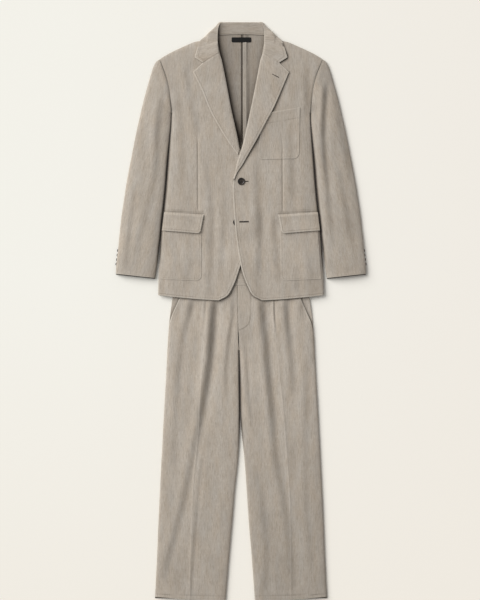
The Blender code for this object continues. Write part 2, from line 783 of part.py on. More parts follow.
def pockets(cloth, parts):
    def breast_level(x, y, height):
        return front_level(1, x, y) + STEP_UP

    corners = (
        Level(BREAST_POCKET_INNER_X, BREAST_POCKET_LOW_Y),
        Level(BREAST_POCKET_INNER_X + 14.0, BREAST_POCKET_TOP_INNER_Y),
        Level(BREAST_POCKET_OUTER_X - 2.0, BREAST_POCKET_LOW_Y + 2.0),
        Level(BREAST_POCKET_OUTER_X, BREAST_POCKET_TOP_OUTER_Y),
    )
    heights = (0.0, 2.0, 6.0, POCKET_CORNER, 50.0, 90.0, 130.0)
    grid = patch_grid(corners, POCKET_CORNER, breast_level, 6, heights)
    cloth_piece("breast_pocket", grid, cloth, parts)

    for side, sign in SIDES:
        top_side = read_line([Level(x, y) for x, y in SIDE_PATH], HIP_POCKET_TOP_Y, "y", "x")
        low_side = read_line([Level(x, y) for x, y in SIDE_PATH], HIP_POCKET_LOW_Y, "y", "x")
        corners = (
            Level(HIP_POCKET_INNER_X, HIP_POCKET_LOW_Y),
            Level(HIP_POCKET_INNER_X, HIP_POCKET_TOP_Y),
            Level(low_side - HIP_POCKET_SIDE_INSET, HIP_POCKET_LOW_Y + 6.0),
            Level(top_side - HIP_POCKET_SIDE_INSET, HIP_POCKET_TOP_Y + 5.0),
        )

        def hip_level(x, y, height, sign=sign):
            return front_level(sign, sign * x, y) + STEP_UP + 0.15

        heights = (0.0, 2.0, 6.0, POCKET_CORNER, 45.0, 80.0, 125.0, HIP_POCKET_TOP_Y - HIP_POCKET_LOW_Y)
        grid = patch_grid(corners, POCKET_CORNER, hip_level, 6, heights)
        grid = [[(sign * x, y, z) for x, y, z in row] for row in grid]
        cloth_piece(f"hip_pocket_{side}", grid, cloth, parts)

        corners = (FLAP_INNER_LOW, FLAP_INNER_TOP, FLAP_OUTER_LOW, FLAP_OUTER_TOP)
        tall = FLAP_INNER_TOP.y - FLAP_INNER_LOW.y

        def flap_level(x, y, height, sign=sign, tall=tall):
            lift = blend(2 * STEP_UP + 0.6, STEP_UP, smooth(tall - 9.0, tall, height))
            return front_level(sign, sign * x, y) + lift

        heights = (0.0, 2.0, FLAP_CORNER, 24.0, tall - 10.0, tall - 4.0, tall)
        grid = patch_grid(corners, FLAP_CORNER, flap_level, 7, heights)
        grid = [[(sign * x, y, z) for x, y, z in row] for row in grid]
        cloth_piece(f"pocket_flap_{side}", grid, cloth, parts)


def button(name, place, radius, thick, horn, parts, cutters):
    """A turned four-hole button: a rim round a shallow dish, with its thread holes bored through."""
    profile = (
        (0.0, 0.0),
        (radius * 0.78, 0.0),
        (radius, thick * 0.45),
        (radius * 0.96, thick * 0.86),
        (radius * 0.84, thick),
        (radius * 0.66, thick * 0.78),
        (radius * 0.52, thick * 0.66),
        (0.0, thick * 0.62),
    )
    mesh = bpy.data.meshes.new(name)
    points = [(x * MM, 0.0, z * MM) for x, z in profile]
    mesh.from_pydata(points, [(index, index + 1) for index in range(len(points) - 1)], [])
    piece = add_object(name, mesh, horn, parts)
    piece.location = Vector(place) * MM
    turned = piece.modifiers.new("Turned", "SCREW")
    turned.steps = 24
    turned.render_steps = 24
    turned.use_merge_vertices = True
    turned.merge_threshold = 0.00001
    turned.use_normal_calculate = True
    cutter_mesh = bpy.data.meshes.new(name + "_holes")
    form = bmesh.new()
    for turn in range(4):
        angle = math.pi / 4 + turn * math.pi / 2
        holes = bmesh.ops.create_cone(
            form,
            cap_ends=True,
            segments=8,
            radius1=radius * 0.09 * MM,
            radius2=radius * 0.09 * MM,
            depth=4 * thick * MM,
        )
        offset = Vector((math.cos(angle), math.sin(angle), 0.0)) * radius * 0.24 * MM
        bmesh.ops.translate(form, verts=holes["verts"], vec=offset)
    form.to_mesh(cutter_mesh)
    form.free()
    cutter = add_object(name + "_holes", cutter_mesh, None, cutters)
    cutter.location = piece.location
    cutter.hide_render = True
    cutter.display_type = "WIRE"
    bored = piece.modifiers.new("Thread holes", "BOOLEAN")
    bored.operation = "DIFFERENCE"
    bored.object = cutter
    bored.solver = "EXACT"
    return piece


def buttons(horn, parts, cutters):
    fastened_z = front_level(1, 0.8, 363.0) + HALF + LAYER_GAP
    button("button_fastened", (0.8, 363.0, fastened_z), FRONT_BUTTON_RADIUS, FRONT_BUTTON_THICK, horn, parts, cutters)
    lower_z = front_level(-1, -12.0, 249.0) + HALF + LAYER_GAP
    button("button_lower", (-12.0, 249.0, lower_z), FRONT_BUTTON_RADIUS, FRONT_BUTTON_THICK, horn, parts, cutters)
    edge = [Level(row.outer_x, row.outer_y) for row in SLEEVE_SECTIONS]
    for side, sign in SIDES:
        for index, y in enumerate(CUFF_BUTTON_YS):
            x = read_line(edge, y, "y", "x") - 3.4
            name = f"cuff_button_{side}_{index + 1}"
            spot = (sign * x, y, 0.05)
            button(name, spot, CUFF_BUTTON_RADIUS - 1.0, CUFF_BUTTON_THICK, horn, parts, cutters)


def neck_label(black, parts):
    """A plain woven label with rounded corners, inside the back of the neck."""
    name = "neck_label"
    mesh = bpy.data.meshes.new(name)
    form = bmesh.new()
    bmesh.ops.create_cube(form, size=1.0)
    bmesh.ops.scale(form, verts=form.verts, vec=Vector((55.0, 14.0, 1.0)) * MM)
    upright = [edge for edge in form.edges if abs(edge.verts[0].co.z - edge.verts[1].co.z) > 0.0005]
    bmesh.ops.bevel(form, geom=upright, offset=3.0 * MM, segments=3, profile=0.5, affect="EDGES")
    form.to_mesh(mesh)
    form.free()
    piece = add_object(name, mesh, black, parts)
    piece.location = Vector((1.2, 759.5, jacket_under(0.0, 759.5) + HALF + 0.3 + 0.5)) * MM
    return piece


def main():
    for old in list(bpy.data.objects):
        bpy.data.objects.remove(old, do_unlink=True)
    parts = new_collection("two_piece_suit", False)
    cutters = new_collection("cutters", True)
    cloth = finish("suit_cloth", (0.43, 0.385, 0.315), 0.85)
    facing = finish("facing_cloth", (0.41, 0.365, 0.30), 0.85)
    horn = finish("horn_buttons", (0.016, 0.012, 0.010), 0.35)
    black = finish("label_weave", (0.012, 0.012, 0.012), 0.7)
    jacket_backs(cloth, parts)
    jacket_fronts(cloth, parts)
    sleeves(cloth, parts)
    collar(facing, parts)
    lapels(facing, parts)
    pockets(cloth, parts)
    trousers(cloth, parts)
    waistband(cloth, parts)
    buttons(horn, parts, cutters)
    neck_label(black, parts)


main()
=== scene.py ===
"""A two-piece suit laid flat, front up, dressed in its cloth, stitching, buttons and label.

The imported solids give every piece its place. Each cloth panel is built again here as a fine thin shell on
the form of its solid, with the pressed folds, rolled edges and seams that a laid suit has. Lengths are in
millimetres until a mesh is made.
"""

import logging
import math
from collections.abc import Callable, Sequence
from dataclasses import dataclass, field
from enum import Enum

import bmesh
import bpy
import numpy as np
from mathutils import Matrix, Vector, noise


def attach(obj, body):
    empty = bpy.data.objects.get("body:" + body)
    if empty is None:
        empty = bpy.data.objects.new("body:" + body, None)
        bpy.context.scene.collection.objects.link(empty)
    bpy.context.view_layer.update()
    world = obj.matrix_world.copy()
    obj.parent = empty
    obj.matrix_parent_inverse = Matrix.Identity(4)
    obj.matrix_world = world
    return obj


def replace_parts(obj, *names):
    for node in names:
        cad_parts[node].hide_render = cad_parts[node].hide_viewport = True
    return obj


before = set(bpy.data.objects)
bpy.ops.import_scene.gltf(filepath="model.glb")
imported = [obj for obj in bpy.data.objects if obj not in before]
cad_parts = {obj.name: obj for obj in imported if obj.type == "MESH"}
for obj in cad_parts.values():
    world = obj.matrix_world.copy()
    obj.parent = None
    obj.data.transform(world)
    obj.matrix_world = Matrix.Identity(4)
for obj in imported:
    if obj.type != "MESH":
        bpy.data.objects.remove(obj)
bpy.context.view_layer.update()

MM = 0.001
log = logging.getLogger("suit")

Array = np.ndarray
Colour = tuple[float, float, float]
Material = bpy.types.Material
Object = bpy.types.Object
Socket = bpy.types.NodeSocket
Height = Callable[[Array, Array], Array]


class Side(Enum):
    """Which side of the wearer a piece belongs to; the wearer's left lies towards +X."""

    LEFT = 1
    RIGHT = -1

    @property
    def word(self) -> str:
        """The side's name, as the solids spell it."""
        return self.name.lower()

    def pick(self, left: float, right: float) -> float:
        """The number that belongs to this side."""
        return left if self is Side.LEFT else right


class Layer(Enum):
    """Whether a panel is the upper or the lower one of two that lie on each other."""

    OVER = 1
    UNDER = -1


# ---------------------------------------------------------------- numbers and curves


def smooth(low: float, high: float, value: Array | float) -> Array:
    """A soft step: 0 below low, 1 above high, and a smooth rise between."""
    share = np.clip((np.asarray(value, float) - low) / (high - low), 0.0, 1.0)
    return share * share * (3.0 - 2.0 * share)


def fade(low: float, high: float, value: Array | float) -> Array:
    """A soft step down: 1 below low, and 0 above high."""
    return 1.0 - smooth(low, high, value)


def bell(value: Array, wide: float | Array) -> Array:
    """A soft hump: 1 where the value is 0, and all but gone two widths away."""
    return np.exp(-((value / wide) ** 2))


def drop(distance: Array, reach: float) -> Array:
    """How far a sheet has turned down at a distance from its edge: 1 at the edge, 0 from the reach inwards."""
    share = 1.0 - np.clip(distance / reach, 0.0, 1.0)
    return 1.0 - np.sqrt(np.maximum(1.0 - share * share, 0.0))


def swell(distance: Array, reach: float) -> Array:
    """The air under a panel: 0 at its edge, 1 from the reach inwards."""
    return 1.0 - drop(distance, reach)


def between(start: Array, end: Array, count: int) -> Array:
    """Evenly spaced columns between two columns, without the two."""
    return start + (end - start) * np.linspace(0, 1, count + 1)[None, 1:-1]


def curve_at(points: Array, places: Array) -> Array:
    """Reads a smooth curve through points.

    Args:
        points: The points, one to a row.
        places: Where to read, counted in points from 0.

    Returns:
        One point for each place.
    """
    points = np.asarray(points, float)
    spans = np.maximum(np.linalg.norm(np.diff(points, axis=0), axis=1), 1e-6)
    slopes = np.diff(points, axis=0) / spans[:, None]
    speed = np.empty_like(points)
    speed[0], speed[-1] = slopes[0], slopes[-1]
    before, after = spans[:-1, None], spans[1:, None]
    speed[1:-1] = (slopes[:-1] * after + slopes[1:] * before) / (before + after)
    index = np.clip(np.floor(places).astype(int), 0, len(points) - 2)
    t, reach = (places - index)[:, None], spans[index][:, None]
    leave, arrive = speed[index] * reach, speed[index + 1] * reach
    return (
        points[index] * (2 * t**3 - 3 * t**2 + 1)
        + leave * (t**3 - 2 * t**2 + t)
        + points[index + 1] * (3 * t**2 - 2 * t**3)
        + arrive * (t**3 - t**2)
    )


def travelled(run: Array) -> Array:
    """How far along a run each of its points lies."""
    return np.concatenate([[0.0], np.cumsum(np.linalg.norm(np.diff(run, axis=0), axis=1))])


def run_through(points: Sequence[Sequence[float]] | Array, step: float) -> Array:
    """A smooth run through a few points, itself made of points about a step apart."""
    given = np.asarray(points, float)
    fine = curve_at(given, np.linspace(0, len(given) - 1, 24 * (len(given) - 1) + 1))
    along = travelled(fine)
    wanted = np.linspace(0, along[-1], max(int(round(along[-1] / step)), 2) + 1)
    return np.stack([np.interp(wanted, along, fine[:, axis]) for axis in range(2)], axis=1)


def distance_to(run: Sequence[Sequence[float]] | Array, x: Array, y: Array) -> Array:
    """The shortest distance in plan from each place to a run of points, in the shape of x."""
    best = np.full(np.shape(x), np.inf)
    for (ax, ay), (bx, by) in zip(run[:-1], run[1:]):
        dx, dy = bx - ax, by - ay
        share = np.clip(((x - ax) * dx + (y - ay) * dy) / max(dx * dx + dy * dy, 1e-9), 0.0, 1.0)
        best = np.minimum(best, (x - ax - share * dx) ** 2 + (y - ay - share * dy) ** 2)
    return np.sqrt(best)


def nearest(runs: Sequence[Array], x: Array, y: Array) -> Array:
    """The distance in plan to the nearest of some runs."""
    return np.minimum.reduce([distance_to(run, x, y) for run in runs])


def offset_run(run: Array, by: float) -> Array:
    """A run moved sideways, to its left as it goes when by is positive."""
    tangent = np.gradient(run, axis=0)
    tangent /= np.maximum(np.linalg.norm(tangent, axis=1), 1e-9)[:, None]
    return run + by * np.stack([-tangent[:, 1], tangent[:, 0]], axis=1)


def waver(x: Array, y: Array, size: float, seed: float) -> Array:
    """Soft unevenness from -1 to 1.

    Args:
        x: Places along X, in millimetres.
        y: Places along Y, in millimetres.
        size: How wide one swell is.
        seed: Which pattern to read.

    Returns:
        One value for each place.
    """
    places = zip((np.ravel(x) / size).tolist(), (np.ravel(y) / size).tolist())
    return np.array([noise.noise(Vector((a, b, seed))) for a, b in places]).reshape(np.shape(x))


def with_corner(table: Array, index: int, near: float = 0.12) -> Array:
    """A table with one more row close to each side of one row, so that the edge turns sharply there."""
    before = table[index] + (table[index - 1] - table[index]) * near
    after = table[index] + (table[index + 1] - table[index]) * near
    return np.concatenate([table[:index], [before], [table[index]], [after], table[index + 1 :]])


# ---------------------------------------------------------------- cut tables

# A panel's table has one row to a section: x and y of its inner end, then x and y of its outer end.
INNER, OUTER = slice(0, 2), slice(2, 4)
FRONT_ROWS = np.array([
    (58.5, 31, 231.6, 45), (35, 43, 231.5, 62), (19, 70, 231.3, 90), (4.5, 108, 229.5, 128),
    (-7.5, 165, 226.5, 178), (-14.2, 215, 223.5, 222), (-17.6, 250, 219.5, 258), (-20, 285, 215.8, 290),
    (-22, 320, 212, 325), (-22.5, 352, 208.8, 362), (-18.5, 383, 206, 400), (-9, 426, 202.6, 440),
    (5, 462, 199, 480), (17.5, 518, 195.6, 520), (28.6, 568, 194.5, 553), (38, 617, 197, 585),
    (47.5, 665, 202, 625), (55.5, 708, 211, 660), (62, 742, 221.5, 687), (66.5, 767, 227.5, 704),
])
ARMPIT_ROW = 14
SHOULDER = np.array([
    (0, 775.5), (58, 774.5), (70, 766), (90, 761.5), (113, 756), (132, 752.6), (156, 742), (181, 730.8),
    (203, 719.8), (222, 708.6), (227.5, 704),
])
SLEEVE_ROWS = np.array([
    (240, 90.7, 350, 102.5), (237.2, 110, 349.2, 128), (233.4, 134, 346.4, 152), (231, 153, 343.6, 176),
    (228.6, 175, 341.4, 200), (224.9, 205, 338.6, 228), (220.7, 250, 334.2, 268), (214.9, 300, 327.6, 312),
    (210, 350, 319.8, 362), (206.1, 400, 310.4, 412), (201.8, 450, 300.8, 462), (197.5, 500, 290.6, 512),
    (195.2, 530, 283.6, 542), (194.5, 553, 277.6, 569), (197, 585, 269.6, 601), (202, 625, 259.6, 637),
    (211, 660, 250.6, 668), (221.5, 687, 243.4, 688), (227.5, 704, 236.6, 699.6),
])
SLEEVE_ARMPIT_ROW = 13
LEG_LEVELS = (72.5, 45, 20, -5, -30, -64, -110, -170, -230, -290, -350, -416, -500, -590, -690, -760, -808.6)
LEG_INNER = {
    Side.LEFT: (-9, -8.6, -8.2, -7.8, -7.4, -6.7, -5.4, -4.2, -3.2, -2.2, 2.6, 9.5, 15.5, 21.5, 29.8, 35, 38.4),
    Side.RIGHT: (-12, -11.6, -11, -9, -3, 6.7, 5.4, 4.2, 3.2, 2.8, 4, 8.2, 17, 24.5, 33.3, 39, 43),
}
POCKET_MOUTH = {Side.LEFT: (151.5, 163.3, 174.2, 185.2, 196.2), Side.RIGHT: (156, 168.5, 180, 191.4, 199.6)}
LEG_OUTER = (203.3, 206, 209, 212.5, 215.8, 219, 222.5, 226.7, 231, 235, 238.3, 240.7)
LEG_ROWS = {
    side: np.array([LEG_INNER[side], LEG_LEVELS, POCKET_MOUTH[side] + LEG_OUTER, LEG_LEVELS[:-2] + (-757, -803)]).T
    for side in Side
}
CENTRE_SEAM_ROW = 5
HIP = np.array([(187, 72.5), (190.5, 45), (194, 20), (197.8, -5), (200.9, -30)])
CREASES = {
    Side.LEFT: np.array([
        (92, 72.5), (93, -30), (99, -90), (111, -200), (122, -316), (137, -517), (140, -672), (140.5, -809),
    ]),
    Side.RIGHT: np.array([
        (95, 72.5), (95.5, -14), (101, -98), (112, -196), (117, -316), (133, -482), (142, -700), (143, -809),
    ]),
}
LAPEL_ROWS = {
    Side.LEFT: np.array([
        (-21.4, 372, -18.6, 369), (-16.2, 392, -10, 389), (-12.2, 412, 3, 408), (-4.2, 436, 17, 433),
        (5.6, 468, 40, 473), (16.4, 516, 68.6, 527), (28.2, 570, 91.6, 570), (44, 650, 114, 621),
        (54, 702, 133.8, 668), (60.9, 722, 106.4, 694.6),
    ]),
    Side.RIGHT: np.array([
        (4.6, 455, 9, 437), (9.6, 484, 28, 463), (17.4, 520, 46, 490), (27.6, 566, 64.5, 521),
        (36.5, 614, 84, 556), (46.5, 666, 109.5, 618), (54.5, 704, 134.2, 668.6), (60.9, 722, 106.4, 694.6),
    ]),
}
# Each row of the collar fall holds three points in space: roll line, bend over the shoulder, and outer edge.
COLLAR_ROWS = np.array([
    (61.4, 722, 8.3, 84, 708.4, 8.3, 106.5, 694.6, 8.2), (63.4, 732, 8.7, 96, 721, 8.4, 129.6, 709.4, 8.2),
    (64.6, 748, 8.9, 94, 741, 8.4, 122.5, 734, 8.1), (64.8, 763, 9, 92, 760.5, 8.2, 116, 753, 8),
    (64.6, 776, 9, 93.4, 774.3, 7.4, 109, 761.2, 5), (64, 787.5, 8.8, 82.6, 785.4, 5.2, 97, 759, 0.7),
    (61.4, 798.5, 8.2, 70.6, 796.8, 4.4, 79, 762, 0.6), (56.6, 806, 7.2, 60, 808.2, 3.4, 62, 764, 0.6),
    (44, 804.6, 4.4, 46, 808.4, 3, 46, 764.5, 0.6), (24, 804.6, 4.2, 25, 808.4, 3, 25, 766, 0.6),
    (0, 804.6, 4.2, 0, 808.4, 3, 0, 766.5, 0.6),
])
# How far in from a rounded edge, and from a turned one, a panel's columns lie.
ROUNDED = (0, 0.12, 0.5, 1.2, 2.2, 3.5, 5, 7, 9.2)
TURNED = (0, 0.5, 1.3, 2.4, 3.6, 4.8, 6, 7.4, 9.2)


@dataclass(frozen=True)
class Dart:
    """A stitched dart: a narrow sunk line from its low end to its top."""

    low: tuple[float, float]
    top: tuple[float, float]
    deep: float = 1.2
    wide: float = 2.2
    ends: float = 0.06

    def at(self, x: Array, y: Array) -> Array:
        """What it adds to the cloth's height at places in plan."""
        dx, dy = self.low[0] - self.top[0], self.low[1] - self.top[1]
        length = math.hypot(dx, dy)
        along = ((x - self.top[0]) * dx + (y - self.top[1]) * dy) / length**2
        aside = ((x - self.top[0]) * dy - (y - self.top[1]) * dx) / length
        window = smooth(-self.ends, self.ends * 0.4, along) * fade(1 - self.ends * 0.4, 1 + self.ends, along)
        return -self.deep * window * bell(aside, self.wide)


@dataclass(frozen=True)
class Crease:
    """A soft fold whose side falls away towards +X along a path; each point holds x, y and the fold's height."""

    path: Sequence[tuple[float, float, float]]
    wide: float
    fade: float = 26.0

    def across(self, x: Array, y: Array) -> tuple[Array, Array]:
        """Where places in plan lie across the fold.

        Args:
            x: Places along X.
            y: Places along Y.

        Returns:
            Widths past the path, and the fold's height there.
        """
        table = np.array(self.path[::-1], float)
        height = np.interp(y, table[:, 1], table[:, 2])
        low_end = smooth(table[0, 1] - self.fade, table[0, 1] + 4.0, y)
        high_end = fade(table[-1, 1] - 4.0, table[-1, 1] + self.fade, y)
        return (x - np.interp(y, table[:, 1], table[:, 0])) / self.wide, height * low_end * high_end

    def at(self, x: Array, y: Array) -> Array:
        """Its height at places in plan: a crest before the path, and a trough past it."""
        share, height = self.across(x, y)
        return -height * share * np.exp((1.0 - share**2) / 2)

    def shade(self, x: Array, y: Array) -> Array:
        """How dark the cloth looks on the fold's steep side."""
        share, height = self.across(x, y)
        return 0.055 * height * bell(share, 0.75)


DARTS = (Dart((-120.5, 284), (-121.5, 483)), Dart((116, 282), (115, 483)))
# Every path runs downwards, from its highest y to its lowest.
JACKET_FOLDS = (
    Crease([
        (-226, 580, 0.9), (-234, 500, 1.5), (-234, 438, 1.2), (-240, 382, 0.9), (-252, 326, 0.6),
        (-267, 270, 0.6), (-285, 200, 0.5), (-296, 130, 0.3),
    ], 10.5, 34),
    Crease([(-300, 340, 0.5), (-306, 280, 0.8), (-318, 190, 0.9), (-322, 130, 0.5)], 8, 30),
    Crease([
        (234, 610, 2.3), (230, 550, 2.7), (228, 494, 2.5), (231, 438, 2.3), (236, 382, 2), (242, 326, 1.5),
        (247, 260, 1.2), (254, 200, 0.6),
    ], 9, 40),
    Crease([(258, 606, 0.4), (271, 550, 0.9), (284, 494, 1.1), (294, 438, 1.1), (303, 382, 0.9)], 9.5, 30),
    Crease([(276, 390, 0.6), (284, 326, 1.1), (297, 262, 1.1), (309, 200, 0.9), (318, 140, 0.5)], 10.5, 30),
    Crease([(-153, 672, 1), (-144, 606, 0.7), (-134, 560, 0.6), (-124, 510, 0.8)], 12, 30),
    Crease([(-175, 600, 0.5), (-169, 520, 0.6), (-166, 420, 0.5)], 11, 40),
    Crease([(-97, 400, 0.7), (-86, 326, 0.9), (-83, 270, 1), (-85, 144, 0.9), (-91, 70, 0.7)], 11, 40),
    Crease([(-50, 300, 0.4), (-52, 200, 0.8), (-58, 110, 0.5)], 10, 36),
    Crease([(-147, 340, 0.3), (-142, 250, 0.6), (-147, 140, 0.6), (-155, 70, 0.5)], 12, 30),
    Crease([(181, 668, 0.8), (184, 606, 1.2), (182, 560, 0.9)], 11, 28),
    Crease([(137, 500, 0.6), (139, 438, 0.8), (144, 340, 0.7), (141, 290, 0.5)], 11, 30),
    Crease([(42, 400, 0.6), (44, 326, 0.8), (52, 262, 1.2), (52, 190, 1.1), (49, 120, 0.7)], 10.5, 40),
    Crease([(90, 250, 0.9), (98, 180, 0.8), (104, 100, 0.6)], 9, 30),
    Crease([(176, 210, 0.3), (188, 144, 0.9), (190, 90, 0.6)], 11, 30),
    Crease([(152, 120, 0.3), (154, 75, 0.7)], 10, 30),
)
LEG_FOLDS = {
    Side.RIGHT: (
        Crease([
            (-76, 34, 1.6), (-77, 14, 4), (-81, -30, 4.8), (-84, -80, 4.7), (-88, -130, 4.3), (-94, -180, 3.9),
            (-102, -235, 3.2), (-115, -304, 2.2), (-138, -416, 1.5), (-161, -528, 1.3), (-197, -668, 1.2),
            (-216, -740, 0.6),
        ], 12, 14),
        Crease([
            (-139, 34, 0.8), (-141, 14, 2.2), (-148, -14, 1.6), (-158, -52, 1.1), (-168, -108, 0.9),
            (-176, -164, 1), (-184, -300, 0.8), (-188, -420, 0.5),
        ], 10.5, 14),
        Crease([(-100, 32, 0.5), (-101, 16, 0.9), (-103, -12, 0.7), (-108, -56, 0.3)], 3.4, 12),
        Crease([
            (-25, 32, 0.6), (-24, -10, 1.2), (-31, -52, 1.3), (-38, -108, 1.2), (-43, -164, 1.1),
            (-41, -230, 0.7),
        ], 7, 16),
        Crease([(-108, -400, 0.4), (-120, -500, 0.6), (-133, -668, 0.6), (-139, -766, 0.5)], 5, 40),
    ),
    Side.LEFT: (
        Crease([
            (56, 34, 1.3), (58, 14, 3), (62, -30, 3.2), (69, -90, 3.3), (74, -164, 3.3), (80, -220, 3.1),
            (88, -304, 2.3), (97, -416, 1.7), (120, -528, 1.2), (136, -668, 1), (144, -766, 0.8),
        ], 12.5, 14),
        Crease([(91.5, 32, 0.8), (92, 10, 1.3), (93.5, -20, 1.1), (96.5, -54, 0.5)], 2.8, 14),
        Crease([
            (125, 34, 1), (125, 12, 2.5), (128, -30, 2.4), (134, -80, 2), (140, -140, 1.3), (144, -230, 0.8),
        ], 10.5, 14),
        Crease([(167, 32, 0.6), (168, 12, 1.4), (172, -20, 0.7)], 9, 14),
        Crease([
            (181, -150, 0.7), (181, -260, 0.9), (180, -416, 0.7), (181, -528, 0.8), (196, -700, 0.5),
        ], 11, 36),
        Crease([(10, -90, 0.5), (15, -164, 1.1), (19, -230, 0.9), (29, -320, 0.5)], 6.5, 24),
        Crease([(38, -440, 0.4), (60, -528, 0.9), (72, -668, 0.8), (67, -766, 0.8)], 11, 36),
    ),
}


def fold_shade(folds: Sequence[Crease], x: Array, y: Array) -> Array:
    """How dark the cloth looks on the steep sides of some folds."""
    return sum(crease.shade(x, y) for crease in folds)


# ---------------------------------------------------------------- heights of the laid layers


@dataclass
class LaidHeights:
    """Heights of the middle of each cloth layer, as functions of a place in plan."""

    half: float = 0.6
    top: float = 5.2
    reach: float = 6.0
    rim_gap: float = 1.0
    step_up: float = 1.7
    under_rise: float = 1.6
    over_rise: float = 1.0
    waist_rise: float = 3.5
    lap: float = 1.8
    button_rise: float = 3.2
    neck_rise: float = 1.9
    cuff_lift: float = 2.8
    puff: float = 4.6
    puff_reach: float = 44.0
    leg_puff: float = 4.4
    sleeve_puff: float = 3.6

    def __post_init__(self) -> None:
        """Stands the panels' tables back from their seams, and lays out the runs that they turn down along."""
        self.body_rows, self.sleeve_rows = FRONT_ROWS.copy(), SLEEVE_ROWS.copy()
        self.body_rows[:, 2] -= [self.inset(index - ARMPIT_ROW) for index in range(len(FRONT_ROWS))]
        self.sleeve_rows[:, 0] += [self.inset(index - SLEEVE_ARMPIT_ROW) for index in range(len(SLEEVE_ROWS))]
        self.sleeve_rows[:, 2] -= self.half
        self.side = run_through(self.body_rows[: ARMPIT_ROW + 1, OUTER], 9.0)
        self.shoulder = run_through(SHOULDER[2:], 6.0)
        self.crevice = run_through(self.sleeve_rows[: SLEEVE_ARMPIT_ROW + 1, INNER], 9.0)
        self.sleeve_outer = run_through(np.vstack([self.sleeve_rows[:, OUTER], self.sleeve_rows[-1:, INNER]]), 7.0)
        self.armhole = run_through(FRONT_ROWS[ARMPIT_ROW:, OUTER], 7.0)

    def inset(self, past_armpit: int) -> float:
        """How far a side stands back from its seam: by its rounded wall up to the armpit, less above it."""
        if past_armpit <= 0:
            return self.half + 0.3
        return 0.4 if past_armpit == 1 else 0.2

    def rim(self, over: Array, under: Array, layer: Layer) -> Array:
        """Where a layer's edge ends up once it has turned towards the other layer."""
        return (over + under + layer.value * self.rim_gap) / 2

    def cuff_share(self, x: Array, y: Array) -> Array:
        """Where the cuff buttons lift the outer edge of a sleeve."""
        edge = np.interp(y, SLEEVE_ROWS[:, 3], SLEEVE_ROWS[:, 2])
        return smooth(90, 114, y) * fade(192, 232, y) * smooth(0, 1, (np.abs(x) - edge + 45) / 29)

    def neck_share(self, x: Array, y: Array) -> Array:
        """Where the jacket lies on its own turned-down collar."""
        return smooth(690, 735, y) * fade(112, 150, np.abs(x))

    def jacket_under(self, x: Array, y: Array) -> Array:
        """The jacket's back and under sleeves, away from their edges."""
        return self.half + self.neck_rise * self.neck_share(x, y) + self.cuff_lift * self.cuff_share(x, y)

    def jacket_over(self, x: Array, y: Array) -> Array:
        """The jacket's fronts and top sleeves, away from their edges."""
        outward, waist = np.abs(x), fade(140, 200, y)
        level = self.top + self.waist_rise * waist * (1.0 - 0.75 * smooth(188, 222, outward))
        level = level + self.lap * waist * fade(30, 74, outward)
        return level + 0.5 * self.neck_rise * self.neck_share(x, y) + 0.6 * self.cuff_lift * self.cuff_share(x, y)

    def jacket_air(self, x: Array, y: Array) -> Array:
        """Air, folds and unevenness of the jacket's upper panels, continuous over the armhole seam."""
        outward = np.abs(x)
        edge = nearest((self.crevice, self.shoulder, self.sleeve_outer), outward, y)
        folds = 1.3 * sum(crease.at(x, y) for crease in JACKET_FOLDS)
        uneven = waver(x, y * 0.55, 68, 3.1) + 0.42 * waver(x, y * 0.4, 21, 8.7)
        valley = -1.1 * bell(distance_to(self.armhole, outward, y), 3) * smooth(6, 30, edge)
        return swell(edge, self.puff_reach) * (self.puff + folds + uneven) + self.sleeve_air(outward, y, edge) + valley

    def sleeve_air(self, outward: Array, y: Array, edge: Array) -> Array:
        """The further air in a sleeve, which is rounder than the body.

        Args:
            outward: Places along X, without their sign.
            y: Places along Y.
            edge: Millimetres from the nearest rounded edge.

        Returns:
            Millimetres to add to the cloth.
        """
        line = np.concatenate([self.crevice, self.armhole])
        line = line[np.argsort(line[:, 1])]
        past = outward - np.interp(y, line[:, 1], line[:, 0])
        blend = smooth(556, 610, y)
        within = (past > 0) * (1.0 - blend) + smooth(0, 30, past) * blend
        return self.sleeve_puff * within * swell(edge, 56) * fade(600, 690, y)

    def crevice_shade(self, distance: Array, y: Array) -> Array:
        """How dark the gap between body and sleeve is, thinning out towards the armpit."""
        low = fade(400, 548, y)
        return (0.75 + 0.35 * low) * bell(distance, 1.3 + 2.2 * low)

    def armhole_shade(self, outward: Array, y: Array) -> Array:
        """How dark the armhole seam is, most of all near the armpit."""
        return np.exp(-distance_to(self.armhole, outward, y) / 1.7) * (1.2 + 1.3 * fade(560, 650, y))

    def body_turn(self, outward: Array, y: Array) -> Array:
        """How far a front or a back has turned down towards its side and its shoulder."""
        from_side, from_shoulder = distance_to(self.side, outward, y), distance_to(self.shoulder, outward, y)
        return np.maximum(drop(from_side, self.reach), drop(from_shoulder, self.reach + 2))

    def front(self, side: Side) -> Height:
        """The height function of one jacket front."""

        def height(x: Array, y: Array) -> Array:
            over = self.jacket_over(x, y)
            rim = self.rim(over, self.jacket_under(x, y), Layer.OVER)
            level = over - (over - rim) * self.body_turn(np.abs(x), y) + self.jacket_air(x, y)
            level = level + sum(dart.at(x, y) for dart in DARTS)
            if side is Side.LEFT:
                button = smooth(195, 232, y) * fade(266, 303, y)
                level = level + fade(26, 62, x) * (self.lap + self.button_rise * button)
            return level

        return height

    def back(self, x: Array, y: Array) -> Array:
        """The height of the jacket's back."""
        under = self.jacket_under(x, y)
        rim = self.rim(self.jacket_over(x, y), under, Layer.UNDER)
        return under + (rim - under) * self.body_turn(np.abs(x), y)

